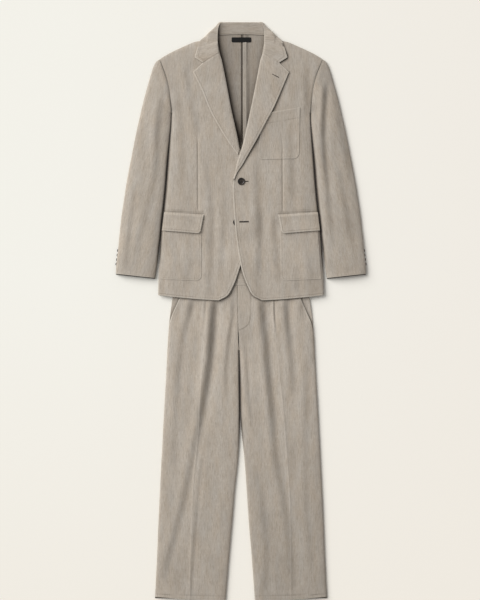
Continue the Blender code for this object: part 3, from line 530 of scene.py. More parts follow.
    def sleeve(self, x: Array, y: Array, layer: Layer) -> Array:
        """The height of a top sleeve or an under sleeve."""
        outward = np.abs(x)
        over, under = self.jacket_over(x, y), self.jacket_under(x, y)
        edge = nearest((self.crevice, self.sleeve_outer), outward, y)
        level = over if layer is Layer.OVER else under
        level = level + (self.rim(over, under, layer) - level) * drop(edge, self.reach)
        if layer is Layer.UNDER:
            return level
        head = bell(distance_to(self.armhole, outward, y) - 9, 7) * smooth(10, 40, edge)
        return level + self.jacket_air(x, y) + head + 0.5 * fade(8, 11, y - (64 + 0.108 * outward))


# ---------------------------------------------------------------- finishes


@dataclass
class Paint:
    """A new material, with short ways to lay patterns into it.

    It reads a UV map when one is named, and the piece's own coordinates otherwise.
    """

    name: str
    uv: str = ""

    def __post_init__(self) -> None:
        """Makes the empty material."""
        self.material = bpy.data.materials.new(self.name)
        self.material.use_nodes = True
        self.tree = self.material.node_tree
        self.shader = self.tree.nodes["Principled BSDF"]
        source = self.node("UVMap" if self.uv else "TexCoord", {})
        if self.uv:
            source.uv_map = self.uv
        self.vector: Socket = source.outputs["UV" if self.uv else "Object"]

    def node(self, kind: str, inputs: dict[int | str, object]) -> bpy.types.Node:
        """A node with its inputs set."""
        made = self.tree.nodes.new("ShaderNode" + kind)
        self.feed(made, inputs)
        return made

    def feed(self, node: bpy.types.Node, inputs: dict[int | str, object]) -> None:
        """Sets a node's inputs, each to a constant or from another node's output."""
        for name, value in inputs.items():
            if isinstance(value, Socket):
                self.tree.links.new(value, node.inputs[name])
            else:
                node.inputs[name].default_value = value

    def noise(self, scale: Colour, detail: float, rough: float) -> Socket:
        """A noise pattern's value, with its own scale along each axis."""
        place = self.node("Mapping", {"Vector": self.vector, "Scale": scale}).outputs["Vector"]
        inputs = {"Vector": place, "Scale": 1.0, "Detail": detail, "Roughness": rough}
        return self.node("TexNoise", inputs).outputs["Fac"]

    def painted(self, name: str) -> Socket:
        """A value that the cloth carries at each of its points."""
        node = self.node("Attribute", {})
        node.attribute_name = name
        return node.outputs["Fac"]

    def spread(self, value: Socket, low: float, high: float, start: float = 0.0, end: float = 1.0) -> Socket:
        """A value stretched from one range to another, and kept inside it."""
        inputs = {"Value": value, "From Min": low, "From Max": high, "To Min": start, "To Max": end}
        return self.node("MapRange", inputs).outputs["Result"]

    def mixed(self, share: Socket, first: Socket | Colour, second: Socket | Colour) -> Socket:
        """Two colours mixed by a share."""
        node = self.node("Mix", {})
        node.data_type = "RGBA"
        first, second = (tint if isinstance(tint, Socket) else (*tint, 1.0) for tint in (first, second))
        self.feed(node, {0: share, 6: first, 7: second})
        return node.outputs[2]

    def sum_of(self, first: Socket, second: Socket, share: float) -> Socket:
        """The first value plus a share of the second."""
        node = self.node("Math", {0: second, 1: share, 2: first})
        node.operation = "MULTIPLY_ADD"
        return node.outputs[0]

    def bump(self, value: Socket, strength: float, distance: float) -> Socket:
        """Fine relief for the shader's normal."""
        return self.node("Bump", {"Height": value, "Strength": strength, "Distance": distance}).outputs["Normal"]

    def finished(self, inputs: dict[int | str, object]) -> Material:
        """The material, once its shader's inputs are set."""
        self.feed(self.shader, inputs)
        return self.material


@dataclass(frozen=True)
class Finish:
    """A procedural finish that makes its own node material."""

    name: str


@dataclass(frozen=True)
class SuitCloth(Finish):
    """A matt plain-weave cloth of mixed warm and cool yarns, with slubs that run along its grain, and with each panel's
    painted highlight and painted shade mixed into its colour.
    """

    warm: Colour = (0.482, 0.412, 0.338)
    cool: Colour = (0.490, 0.442, 0.388)
    dark: Colour = (0.225, 0.182, 0.138)
    # pale is the lighter slub yarn and also the colour of the painted highlight; shade is the colour of the painted
    # shade
    pale: Colour = (0.640, 0.590, 0.515)
    shade: Colour = (0.045, 0.034, 0.025)
    roughness: float = 0.92
    sheen: float = 0.12
    weave_pitch: float = 0.00062

    def build(self) -> Material:
        """Makes the material, on the panel's own grain coordinates in metres."""
        paint = Paint(self.name, "grain")
        broad = paint.noise((45, 11, 1), 4, 0.6)
        streak = paint.noise((330, 34, 1), 3, 0.7)
        slub = paint.noise((900, 90, 1), 1, 0.6)
        cross = paint.noise((170, 700, 1), 1, 0.5)
        cloud = paint.noise((26, 9, 1), 3, 0.6)
        colour = paint.mixed(paint.spread(broad, 0.34, 0.66), self.warm, self.cool)
        for share, low, high, most, tint in (
            (streak, 0.46, 0.74, 0.52, self.dark),
            (slub, 0.50, 0.74, 0.50, self.pale),
            (cross, 0.52, 0.80, 0.22, self.dark),
            (cloud, 0.42, 0.70, 0.20, self.dark),
            # painted highlight from the panel's 'turned' values, then painted shade from its 'deep' values
            (paint.painted("turned"), 0, 1, 0.50, self.pale),
            (paint.painted("deep"), 0, 1, 1, self.shade),
        ):
            colour = paint.mixed(paint.spread(share, low, high, 0, most), colour, tint)
        bands = []
        for direction in ("X", "Y"):
            wave = paint.node("TexWave", {"Vector": paint.vector, "Scale": 0.314 / self.weave_pitch, "Distortion": 0.6})
            wave.bands_direction = direction
            bands.append(wave.outputs["Fac"])
        relief = paint.sum_of(paint.sum_of(paint.sum_of(*bands, 1), slub, 3), streak, 2)
        return paint.finished({
            "Base Color": colour, "Roughness": self.roughness, "Sheen Weight": self.sheen, "Sheen Roughness": 0.6,
            "Specular IOR Level": 0.25, "Normal": paint.bump(relief, 0.55, 0.00016),
        })


@dataclass(frozen=True)
class SewingThread(Finish):
    """Twisted sewing thread."""

    colour: Colour = (0.19, 0.155, 0.115)
    roughness: float = 0.7

    def build(self) -> Material:
        """Makes the material, with its twist as fine bands."""
        paint = Paint(self.name)
        dim, light = (tuple(channel * share for channel in self.colour) for share in (0.75, 1.25))
        twist = paint.spread(paint.noise((3000, 3000, 3000), 1, 0.5), 0.35, 0.65)
        return paint.finished({"Base Color": paint.mixed(twist, dim, light), "Roughness": self.roughness})


@dataclass(frozen=True)
class HornButton(Finish):
    """Dark polished horn with faint brown streaks."""

    dark: Colour = (0.009, 0.007, 0.006)
    brown: Colour = (0.035, 0.022, 0.014)
    roughness: float = 0.38

    def build(self) -> Material:
        """Makes the material."""
        paint = Paint(self.name)
        streak = paint.noise((90, 420, 200), 3, 0.6)
        rough = paint.noise((700, 700, 700), 2, 0.5)
        return paint.finished({
            "Base Color": paint.mixed(paint.spread(streak, 0.42, 0.68), self.dark, self.brown),
            "Roughness": paint.spread(rough, 0.3, 0.7, self.roughness - 0.08, self.roughness + 0.1),
            "Normal": paint.bump(streak, 0.2, 0.0001),
        })


@dataclass(frozen=True)
class WovenLabel(Finish):
    """A plain black satin-woven label."""

    ground: Colour = (0.004, 0.004, 0.004)
    lifted: Colour = (0.012, 0.0115, 0.011)

    def build(self) -> Material:
        """Makes the material, with its ribs as fine bands."""
        paint = Paint(self.name)
        rib = paint.noise((300, 3200, 300), 1, 0.5)
        return paint.finished({
            "Base Color": paint.mixed(paint.spread(rib, 0.4, 0.62), self.ground, self.lifted),
            "Roughness": 0.7, "Specular IOR Level": 0.2, "Normal": paint.bump(rib, 0.5, 0.0001),
        })


@dataclass(frozen=True)
class PaleFloor(Finish):
    """A smooth pale cream board, with painted light falloff: lightest at the upper left, darker towards the right and
    towards the bottom.
    """

    # light and shade are the painted falloff across X; low is the painted shade towards the bottom
    light: Colour = (0.937, 0.925, 0.868)
    shade: Colour = (0.905, 0.872, 0.812)
    low: Colour = (0.900, 0.853, 0.779)

    def build(self) -> Material:
        """Makes the material."""
        paint = Paint(self.name)
        axes = paint.node("SeparateXYZ", {"Vector": paint.vector}).outputs
        # painted falloff: from light to shade across X, then towards low down Y
        across = paint.sum_of(axes["X"], paint.noise((1.4, 1.4, 1.4), 2, 0.5), 0.25)
        wide = paint.mixed(paint.spread(across, -0.35, 0.75), self.light, self.shade)
        colour = paint.mixed(paint.spread(axes["Y"], 0.1, -0.95, 0, 0.75), wide, self.low)
        return paint.finished({"Base Color": colour, "Roughness": 0.9, "Specular IOR Level": 0.1})


class Wardrobe:
    """All the finishes of the suit, made once."""

    def __init__(self) -> None:
        """Makes the materials."""
        self.cloth: Material = SuitCloth("suit_cloth").build()
        self.thread: Material = SewingThread("tonal_thread").build()
        self.dark_thread: Material = SewingThread("buttonhole_thread", (0.030, 0.022, 0.016), 0.6).build()
        self.horn: Material = HornButton("horn_buttons").build()
        self.label: Material = WovenLabel("label_weave").build()


# ---------------------------------------------------------------- making cloth


def placed(name: str, data: bpy.types.ID) -> Object:
    """A new object in the scene."""
    made = bpy.data.objects.new(name, data)
    bpy.context.scene.collection.objects.link(made)
    return made


def worn(piece: Object, slot: str) -> Object:
    """A piece of the suit, riding on its one body."""
    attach(piece, "root")
    return piece


@dataclass
class ClothGrid:
    """A panel's places in rows, with what its cloth needs at each of them, its painted highlight and painted shade
    among them.
    """

    x: Array
    y: Array
    z: Array
    grain_x: Array
    grain_y: Array
    # turned holds painted highlight for edges, creases and sides that face the light; deep holds painted shade for
    # crevices, folds, seams and what lies in shadow
    turned: Array
    deep: Array

    @classmethod
    def over(cls, x: Array, y: Array, z: Array) -> "ClothGrid":
        """A grid whose grain runs along Y, with no painted highlight and no painted shade yet."""
        return cls(x, y, z, x.copy(), y.copy(), np.zeros_like(x), np.zeros_like(x))

    def paint_highlight(self, amount: Array) -> None:
        """Paints highlight where edges, creases and sides catch the light."""
        self.turned = np.maximum(self.turned, amount)

    def paint_shade(self, amount: Array) -> None:
        """Paints shade."""
        self.deep = np.maximum(self.deep, amount)

    def lean(self, side: Side, x: Array, y: Array, degrees: float, shift: float) -> None:
        """Cuts the piece on a grain that leans, from somewhere else in the cloth."""
        turn = math.radians(degrees)
        self.grain_x = side.value * (x * math.cos(turn) - y * math.sin(turn)) + shift
        self.grain_y = x * math.sin(turn) + y * math.cos(turn)

    def mark_darts(self) -> None:
        """Paints the dart seams: painted shade along the seam line, and a painted highlight on the pressed edge beside
        it.
        """
        for dart in DARTS:
            past = self.x - np.interp(self.y, (dart.low[1], dart.top[1]), (dart.low[0], dart.top[0]))
            window = smooth(dart.low[1] - 4, dart.low[1] + 6, self.y) * fade(dart.top[1] - 14, dart.top[1], self.y)
            self.paint_shade(0.42 * window * bell(past, 1.2))
            self.paint_highlight(0.34 * window * bell(past - 3, 1.4))


@dataclass
class Tailor:
    """Turns grids into cloth pieces that ride on the suit and stand for their solids."""

    wardrobe: Wardrobe
    wall: float = 1.1
    ease: float = 1.02
    least_side: float = 0.0101
    least_share: float = 0.302

    def sew(
        self, name: str, grid: ClothGrid, nodes: Sequence[str] | None = None, slot: str = "suit_cloth",
        wall: float | None = None, held: str = "laid", rests_on: Sequence[str] = (),
        flat: tuple[float, float] | None = None,
    ) -> None:
        """Makes one cloth piece.

        Args:
            name: The piece's name.
            grid: Its places.
            nodes: The solids that it stands for, or None for the one that its name gives.
            slot: Not used.
            wall: Its thickness, or None for the suit's own cloth.
            held: Not used.
            rests_on: Not used.
            flat: Not used.
        """
        points = np.stack([grid.x, grid.y, grid.z], axis=-1).reshape(-1, 3) * MM
        index = np.arange(grid.x.size).reshape(grid.x.shape)
        corners = np.stack([index[:-1, :-1], index[:-1, 1:], index[1:, 1:], index[1:, :-1]], axis=-1).reshape(-1, 4)
        a, b, c, d = (points[corners[:, corner]] for corner in range(4))
        if np.cross(b - a, d - a)[:, 2].sum() < 0:
            corners = corners[:, ::-1]
            a, b, c, d = d, c, b, a
        mesh = bpy.data.meshes.new(name)
        mesh.from_pydata(points.tolist(), [], corners.tolist())
        grain = np.stack([grid.grain_x, grid.grain_y], axis=-1).reshape(-1, 2) * MM
        mesh.uv_layers.new(name="grain").data.foreach_set("uv", grain[corners.ravel()].astype(np.float32).ravel())
        # the painted highlight ('turned') and the painted shade ('deep') go to the material as point attributes
        for label, values in (("turned", grid.turned), ("deep", grid.deep)):
            attribute = mesh.attributes.new(label, "FLOAT", "POINT")
            attribute.data.foreach_set("value", values.astype(np.float32).ravel())
        mesh.shade_smooth()
        mesh.materials.append(self.wardrobe.cloth)
        piece = worn(placed(name, mesh), slot)
        thicken = piece.modifiers.new("Wall", "SOLIDIFY")
        thicken.thickness = (wall or self.wall) * MM
        thicken.offset = 0.0
        thicken.use_even_offset = False
        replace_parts(piece, *([name.removesuffix("_cloth")] if nodes is None else nodes))
        width, length = (float(side) for side in np.ptp(points, axis=0)[:2])
        flat = flat or (max(width * self.ease, self.least_side), max(length * self.ease, self.least_side))
        tuple(rests_on)
        log.info("%s: %d faces", name, len(corners))


@dataclass
class RuledPanel:
    """Places between the two long edges of a table of rows, crowded where an edge turns."""

    rows: Array
    step: float = 3.2
    near: Sequence[float] = TURNED
    far: Sequence[float] = ROUNDED
    hem: Sequence[float] = (0, 0.02, 0.06)
    focus: Array | None = None
    focus_steps: Sequence[float] = (-5, -3.2, -2, -1, 0, 1, 2, 3.2, 5)
    clear: float = 8.0

    def places(self) -> Array:
        """Where the rows are read, counted in rows of the table."""
        last = len(self.rows) - 1
        found = {float(last), *self.hem[1:], *(last - share for share in (0.012, 0.035, 0.08))}
        for index, change in enumerate(np.diff(self.rows, axis=0)):
            span = max(math.hypot(*change[INNER]), math.hypot(*change[OUTER]))
            count = max(math.ceil(span / self.step), 2)
            found |= {index + part / count for part in range(count)}
        return np.array(sorted(found))

    def plan(self) -> tuple[Array, Array, Array]:
        """The panel's places in plan.

        Returns:
            X and Y of each place, and the row place of each row.
        """
        places = self.places()
        inner, outer = curve_at(self.rows[:, INNER], places), curve_at(self.rows[:, OUTER], places)
        length = np.linalg.norm(outer - inner, axis=1)[:, None]
        deepest = max(self.near[-1], self.far[-1])
        squeeze = np.minimum(1.0, 0.42 * length / deepest)
        near = np.array(self.near)[None, :] * squeeze / length
        far = 1.0 - np.array(self.far)[None, ::-1] * squeeze / length
        typical = float(np.percentile(length, 80)) - self.near[-1] - self.far[-1]
        count = max(int(typical / self.step), 2)
        if self.focus is None:
            middle = [between(near[:, -1:], far[:, :1], count)]
        else:
            line = self.focus[np.argsort(self.focus[:, 1])]
            at_x = np.interp((inner[:, 1] + outer[:, 1]) / 2, line[:, 1], line[:, 0])
            share = ((at_x - inner[:, 0]) / (outer[:, 0] - inner[:, 0]))[:, None]
            share = np.clip(share, near[:, -1:] + self.clear / length, far[:, :1] - self.clear / length)
            cluster = share + np.array(self.focus_steps)[None, :] / length
            half = max(count // 2, 2)
            middle = [between(near[:, -1:], cluster[:, :1], half), cluster, between(cluster[:, -1:], far[:, :1], half)]
        shares = np.concatenate([near, *middle, far], axis=1)
        x = inner[:, :1] + (outer[:, :1] - inner[:, :1]) * shares
        y = inner[:, 1:] + (outer[:, 1:] - inner[:, 1:]) * shares
        return x, y, places


@dataclass
class Needle:
    """Collects rows of stitches, then makes them as one piece of thread."""

    pitch: float = 3.1
    stitch: float = 2.3
    thick: float = 0.26
    sink: float = 0.12
    stitches: list[Array] = field(default_factory=list)

    def sew_along(self, run: Array, height: Height, lift: float = 0.6, side: Side = Side.LEFT) -> None:
        """Adds a row of stitches.

        Args:
            run: Points in plan that the row follows.
            height: The height of the middle of the cloth.
            lift: How far the cloth's face lies above its middle.
            side: The side to sew it on; the right one mirrors the run.
        """
        run = run * (side.value, 1)
        along = travelled(run)
        starts = np.arange(0.4, along[-1] - self.stitch, self.pitch)
        stations = starts[:, None] + np.array([0.0, 0.5, 1.0])[None, :] * self.stitch
        x, y = (np.interp(stations, along, run[:, axis]) for axis in (0, 1))
        z = height(x, y) + lift - self.sink
        z[:, 1] += self.thick * 0.9
        heading = np.stack([x[:, 2] - x[:, 0], y[:, 2] - y[:, 0]], axis=1)
        heading /= np.maximum(np.linalg.norm(heading, axis=1), 1e-6)[:, None]
        flat = np.zeros(len(starts))
        aside = np.stack([-heading[:, 1], heading[:, 0], flat], axis=1) * self.thick
        upward = np.stack([flat, flat, flat + self.thick], axis=1)
        rings = np.stack([aside, upward, -aside, -upward], axis=1)
        self.stitches.append((np.stack([x, y, z], axis=-1)[:, :, None] + rings[:, None]).reshape(-1, 3))

    def finish(self, name: str, thread: Material) -> None:
        """Makes the stitches one piece."""
        points = np.concatenate(self.stitches) * MM
        corners = [(low + turn, low + (turn + 1) % 4) for low in (0, 4) for turn in range(4)]
        faces = np.array([(a, a + 4, b + 4, b) for a, b in corners] + [(0, 1, 2, 3), (11, 10, 9, 8)])
        faces = faces[None] + np.arange(0, len(points), 12)[:, None, None]
        mesh = bpy.data.meshes.new(name)
        mesh.from_pydata(points.tolist(), [], faces.reshape(-1, 4).tolist())
        mesh.shade_smooth()
        mesh.materials.append(thread)
        worn(placed(name, mesh), "suit_cloth")
        log.info("%s: %d stitches", name, len(faces))


def turned_edge(distance: Array) -> tuple[Array, Array]:
    """The form of a turned and topstitched edge.

    Args:
        distance: Millimetres from the edge.

    Returns:
        What it adds to the height, and how strong the painted highlight on the pressed edge is, from 0 to 1.
    """
    added = 0.55 * fade(7, 11, distance) - 0.55 * bell(distance - 5.6, 1) - 0.55 * fade(0, 1.6, distance)
    return added, fade(0.6, 3.4, distance)


@dataclass
class Maker:
    """What each maker of a part of the suit works with."""

    heights: LaidHeights
    tailor: Tailor
    needle: Needle


# ---------------------------------------------------------------- the jacket


@dataclass
class JacketBody(Maker):
    """The jacket's two fronts and two backs."""

    right_shift: float = 3.5
    back_hem: float = 36.0
    back_neck: float = 775.5

    def front_rows(self, side: Side) -> Array:
        """The front's table for the wearer's left or right."""
        rows = self.heights.body_rows.copy()
        level = rows[:, 1]
        rows[:, 0] += side.pick(0, self.right_shift) * fade(108, 175, level) + 1.6 * smooth(426, 480, level)
        return rows

    def bend_to_shoulder(self, x: Array, y: Array, places: Array, rows: Array) -> Array:
        """Bends the top rows of a panel to the shoulder line.

        Args:
            x: The panel's places along X, all positive.
            y: Its places along Y.
            places: The row place of each row.
            rows: Its table.

        Returns:
            The places along Y, bent.
        """
        last = len(rows) - 1
        inner_x, inner_y, outer_x, outer_y = rows[-1]
        straight = inner_y + (x - inner_x) / (outer_x - inner_x) * (outer_y - inner_y)
        bent = np.interp(x, SHOULDER[:, 0], SHOULDER[:, 1])
        return y + (bent - straight) * smooth(last - 4.5, last, places)[:, None]

    def front_edge(self, side: Side) -> Array:
        """The run of a front's free edge, from the hem at the side, round the cutaway and up to the break."""
        rows = self.front_rows(side)
        hem = [(190, 40.3), (120, 34), (84, 31.6)]
        return run_through(np.vstack([rows[:1, OUTER], hem, rows[: int(side.pick(11, 12)), INNER]]), 3)

    def hem_shape(self, x: Array, y: Array, places: Array) -> Array:
        """Dips the straight hem row so that it sweeps as a cut hem does."""
        wanted = np.interp(x, (58.5, 84, 120, 190, 231.6), (31, 31.6, 34, 40.3, 45))
        straight = 31 + (x - 58.5) / 173.1 * 14
        return y + (wanted - straight) * fade(0, 1.6, places)[:, None]

    def build_front(self, side: Side) -> None:
        """Makes one front with its turned edge, dart and roll."""
        heights, rows = self.heights, self.front_rows(side)
        dart_x = side.pick(115, 122)
        focus = np.array([(dart_x, 0), (dart_x, 480), (dart_x + 18, 700)])
        x, y, places = RuledPanel(rows, 3.1, focus=focus).plan()
        y = self.bend_to_shoulder(x, self.hem_shape(x, y, places), places, rows)
        own = side.value * x
        edge, height = self.front_edge(side), heights.front(side)
        added, light = turned_edge(distance_to(edge, x, y))
        grid = ClothGrid.over(own, y, height(own, y) + added)
        # Painted highlight along the turned front edge and beside the armhole seam.
        grid.paint_highlight(light)
        grid.paint_highlight(0.275 * fade(0.3, 2.6, distance_to(heights.armhole, x, y)))
        grid.mark_darts()
        from_side, painted_shade = distance_to(heights.side, x, y), fold_shade(JACKET_FOLDS, own, y)
        if side is Side.RIGHT:
            # Painted highlight on the side edge that faces the light, beside the sleeve.
            grid.paint_highlight(0.5 * bell(from_side - 7, 2.6) * smooth(60, 160, y))
        else:
            lapel = run_through(LAPEL_ROWS[side][:-1, OUTER], 4)
            collar = run_through(np.vstack([(106.5, 694.6), COLLAR_ROWS[1:4, 6:8]]), 4)
            # Painted shadow that the lapel's free edge and the collar point cast on this front.
            grid.paint_shade(0.8 * bell(distance_to(lapel, x, y), 4.2) * (1 - 0.4 * smooth(470, 640, y)))
            grid.paint_shade(0.75 * bell(distance_to(collar, x, y), 3.4))
            # Painted shade: this front a little darker all over and more towards its side, where the light falls off,
            # and darker still beside the sleeve.
            painted_shade = painted_shade + 0.03 + 0.06 * smooth(70, 190, x) + 0.24 * np.exp(-from_side / 9) * fade(480, 560, y)
        crevice = heights.crevice_shade(from_side, y) * smooth(90, 170, y)
        # Painted shadow under the flap seam, and painted shade along the stitch line above it.
        flap_seam_shadow = bell(distance_to([(104, 273.2), (216, 280.6)], x, y), 1.3)
        stitch_line_shade = bell(distance_to([(104, 279.0), (216, 286.4)], x, y), 0.9)
        # All painted shade: folds, the crevice by the sleeve, the armhole seam and the flap's two lines.
        painted_shade = painted_shade + 0.95 * crevice + 0.30 * heights.armhole_shade(x, y) + 0.5 * flap_seam_shadow + 0.22 * stitch_line_shade
        grid.deep = np.clip(grid.deep + painted_shade, 0, 1)
        self.tailor.sew(f"jacket_front_{side.word}_cloth", grid, rests_on=["jacket_back_left"])
        self.needle.sew_along(offset_run(edge, -5.6), lambda a, b: height(a, b) + 0.1, side=side)

    def build_back(self, side: Side) -> None:
        """Makes one back, lying on the floor, with its inside showing in the neck."""
        rows = self.heights.body_rows.copy()
        rows[:, 0] = 0.2
        rows[:, 1] = np.linspace(self.back_hem, self.back_neck, len(rows))
        x, y, places = RuledPanel(rows, 6.5, (0, 0.5, 1.2, 2.4, 4)).plan()
        y = self.bend_to_shoulder(x, y, places, rows)
        own, visible = side.value * x, smooth(440, 480, y) * fade(70, 90, x)
        uneven = visible * (0.5 * waver(own, y * 0.35, 26, 5.2) + 0.35) * smooth(1, 12, x)
        grid = ClothGrid.over(own, y, self.heights.back(own, y) + uneven)
        from_left, from_right = (distance_to(self.roll_line(lapel), own, y) for lapel in Side)
        # Painted shadow all over the inside of the back where it shows in the neck, most from both lapels' roll lines
        # and deepest at the bottom of the opening.
        shadow = 0.26 + 0.68 * np.exp(-from_right / 17) + 0.35 * bell(from_right, 5)
        shadow = shadow + 0.30 * np.exp(-from_left / 9) + 0.4 * fade(450, 560, y)
        # Painted shade in the centre-back seam's groove, and the painted shadow that the pressed allowance casts beside
        # it.
        seams = bell(own - 2.4, 1.9) + 0.45 * bell(own - 18.6, 3.2)
        grid.deep = visible * np.clip(shadow + seams, 0, 1)
        self.tailor.sew(f"jacket_back_{side.word}_cloth", grid)

    def roll_line(self, side: Side) -> Array:
        """The run of a lapel's roll line, in plan."""
        rows = self.front_rows(side)
        return np.vstack([rows[rows[:, 1] > 420][:, INNER], (64, 800)]) * (side.value, 1)

    def build_seam_allowance(self) -> None:
        """Makes the pressed-open seam allowance that shows beside the centre-back seam."""
        columns = (5.6, 6, 7.5, 10.5, 13.4, 15, 15.4)
        y, x = np.meshgrid(np.linspace(438, 753, 110), columns, indexing="ij")
        z = self.heights.back(x, y) + 1.35 + 0.25 * np.sin(y / 23) * smooth(5.6, 15, x)
        grid = ClothGrid.over(x, y, z)
        # Painted highlight along both pressed edges, and painted shadow from the right lapel's roll line.
        grid.turned = 0.8 * fade(0.2, 1.8, np.minimum(x - columns[0], columns[-1] - x))
        grid.deep = 0.16 + 0.3 * np.exp(-distance_to(self.roll_line(Side.RIGHT), x, y) / 11)
        self.tailor.sew("centre_back_allowance", grid, [], wall=0.7, rests_on=["jacket_back_left"])

    def build(self) -> None:
        """Makes all the body's panels."""
        for side in Side:
            self.build_back(side)
            self.build_front(side)
        self.build_seam_allowance()


@dataclass
class Sleeves(Maker):
    """The top and under sleeves, with their folds and turned cuffs."""

    def build_sleeve(self, side: Side, layer: Layer) -> None:
        """Makes a top or an under sleeve."""
        heights, rows, top = self.heights, self.heights.sleeve_rows, layer is Layer.OVER
        step = 3 if top else 6
        x, y, places = RuledPanel(rows, step, ROUNDED, ROUNDED, hem=(0, 0.05, 0.14, 0.27, 0.4)).plan()
        if top:
            y = y + 2.2 * fade(0, 1, places)[:, None]
        own = side.value * x
        grid = ClothGrid.over(own, y, heights.sleeve(own, y, layer))
        cuff = distance_to(rows[0].reshape(2, 2), x, y)
        if top:
            from_crevice = distance_to(heights.crevice, x, y)
            sides = np.minimum(from_crevice, distance_to(heights.sleeve_outer, x, y))
            grid.z = grid.z + 1.2 * fade(0, 26, cuff) * smooth(2, 20, sides) - 0.4 * fade(0, 1.4, cuff)
            # Painted highlight on the turned cuff edge and beside the armhole seam.
            grid.paint_highlight(0.9 * fade(2.4, 5.6, cuff))
            grid.paint_highlight(0.5 * fade(0.3, 2.6, distance_to(heights.armhole, x, y)))
            painted_shade = fold_shade(JACKET_FOLDS, own, y)
            if side is Side.LEFT:
                # Painted shade: this sleeve darker all over, where the light falls off; a painted highlight on its
                # inner edge, which faces the light.
                painted_shade = painted_shade + 0.13
                grid.paint_highlight(0.5 * bell(from_crevice - 7, 2.6) * smooth(60, 160, y))
            else:
                # Painted shade on this sleeve's inner edge, which turns away from the light.
                painted_shade = painted_shade + 0.30 * np.exp(-from_crevice / 9) * fade(480, 560, y)
            # More painted shade in the crevice by the body and on the armhole seam.
            painted_shade = painted_shade + 0.95 * heights.crevice_shade(from_crevice, y) * smooth(110, 190, y)
            grid.deep = np.clip(painted_shade + side.pick(0.25, 0.42) * heights.armhole_shade(x, y), 0, 1)
        else:
            # Painted shade inside the cuff, where the under sleeve shows below the top sleeve.
            grid.deep = 0.8 * fade(4, 30, cuff)
        grid.lean(side, x, y, -12.5, 0.9 * side.value)
        self.tailor.sew(f"sleeve_{'top' if top else 'under'}_{side.word}_cloth", grid)

    def build(self) -> None:
        """Makes all four sleeve pieces."""
        for side in Side:
            for layer in Layer:
                self.build_sleeve(side, layer)


@dataclass
class Lapels(Maker):
    """The two turned lapels, each with its roll, lifted edge and buttonhole side."""

    rise: float = 3.0

    def height(self, side: Side, x: Array, y: Array, share: Array, wide: Array) -> Array:
        """The height of a lapel.

        Args:
            side: Which lapel.
            x: Places along X, positive towards its own side.
            y: Places along Y.
            share: From 0 on the roll line to 1 on the free edge.
            wide: The lapel's width at each place.

        Returns:
            The height of the middle of its cloth.
        """
        front = self.heights.front(side)(side.value * np.maximum(x, 3), np.minimum(y, 742))
        grown = smooth(3, 40, wide)
        roll = 1.9 * grown * np.sin(np.pi * np.clip(share + 0.08, 0, 1))
        lifted = side.pick(3.4, 1.0) * smooth(0.1, 1, share) * bell(y - 500, 105) * grown
        return front + 1.7 + (self.rise - 1.7) * grown + roll + lifted + 0.35 * waver(side.value * x, y * 0.6, 34, 11)

    def build_lapel(self, side: Side) -> None:
        """Makes one lapel."""
        rows = with_corner(LAPEL_ROWS[side], len(LAPEL_ROWS[side]) - 2)
        x, y, _ = RuledPanel(rows, 2.4, (0, 0.4, 1, 2, 3.4), (0, 0.4, 1, 1.8, 3, 4.4, 5.6, 6.8, 8.4)).plan()
        span = np.hypot(x[:, -1:] - x[:, :1], y[:, -1:] - y[:, :1])
        share = np.hypot(x - x[:, :1], y - y[:, :1]) / span
        gorge = np.vstack([rows[-1:, INNER], rows[-1:, OUTER], rows[-3:-2, OUTER]])
        free_edge = run_through(rows[:-2, OUTER], 2.5)
        added, light = turned_edge(nearest((free_edge, gorge[1:]), x, y))
        z = self.height(side, x, y, share, span + 0 * x) + 0.8 * added
        z = z - 1.7 * fade(0, 5, share * span) ** 2 - 0.7 * fade(0, 3, distance_to(gorge[:2], x, y))
        grid = ClothGrid.over(side.value * x, y, z)
        # Painted highlight along the free edge and over the roll line.
        grid.turned = np.maximum(light, 0.45 * fade(0.5, 4, share * span))
        grid.lean(side, x, y, -9, 0.31)
        rests_on = [f"jacket_front_{side.word}"]
        self.tailor.sew(f"lapel_{side.word}_cloth", grid, slot="facing_cloth", wall=1.4, rests_on=rests_on)
        self.stitch(side, rows)

    def stitch(self, side: Side, rows: Array) -> None:
        """Topstitches the free edge and the notch."""

        def height(px: Array, py: Array) -> Array:
            own, roll_x = px * side.value, np.interp(py, rows[:, 1], rows[:, 0])
            wide = np.maximum(np.interp(py, rows[:-2, 3], rows[:-2, 2]) - roll_x, 2)
            return self.height(side, own, py, np.clip((own - roll_x) / wide, 0, 1), wide)

        run = offset_run(run_through(rows[1:-2, OUTER], 2), 5.4)
        self.needle.sew_along(run, height, 0.75, side)

    def build(self) -> None:
        """Makes both lapels."""
        for side in Side:
            self.build_lapel(side)


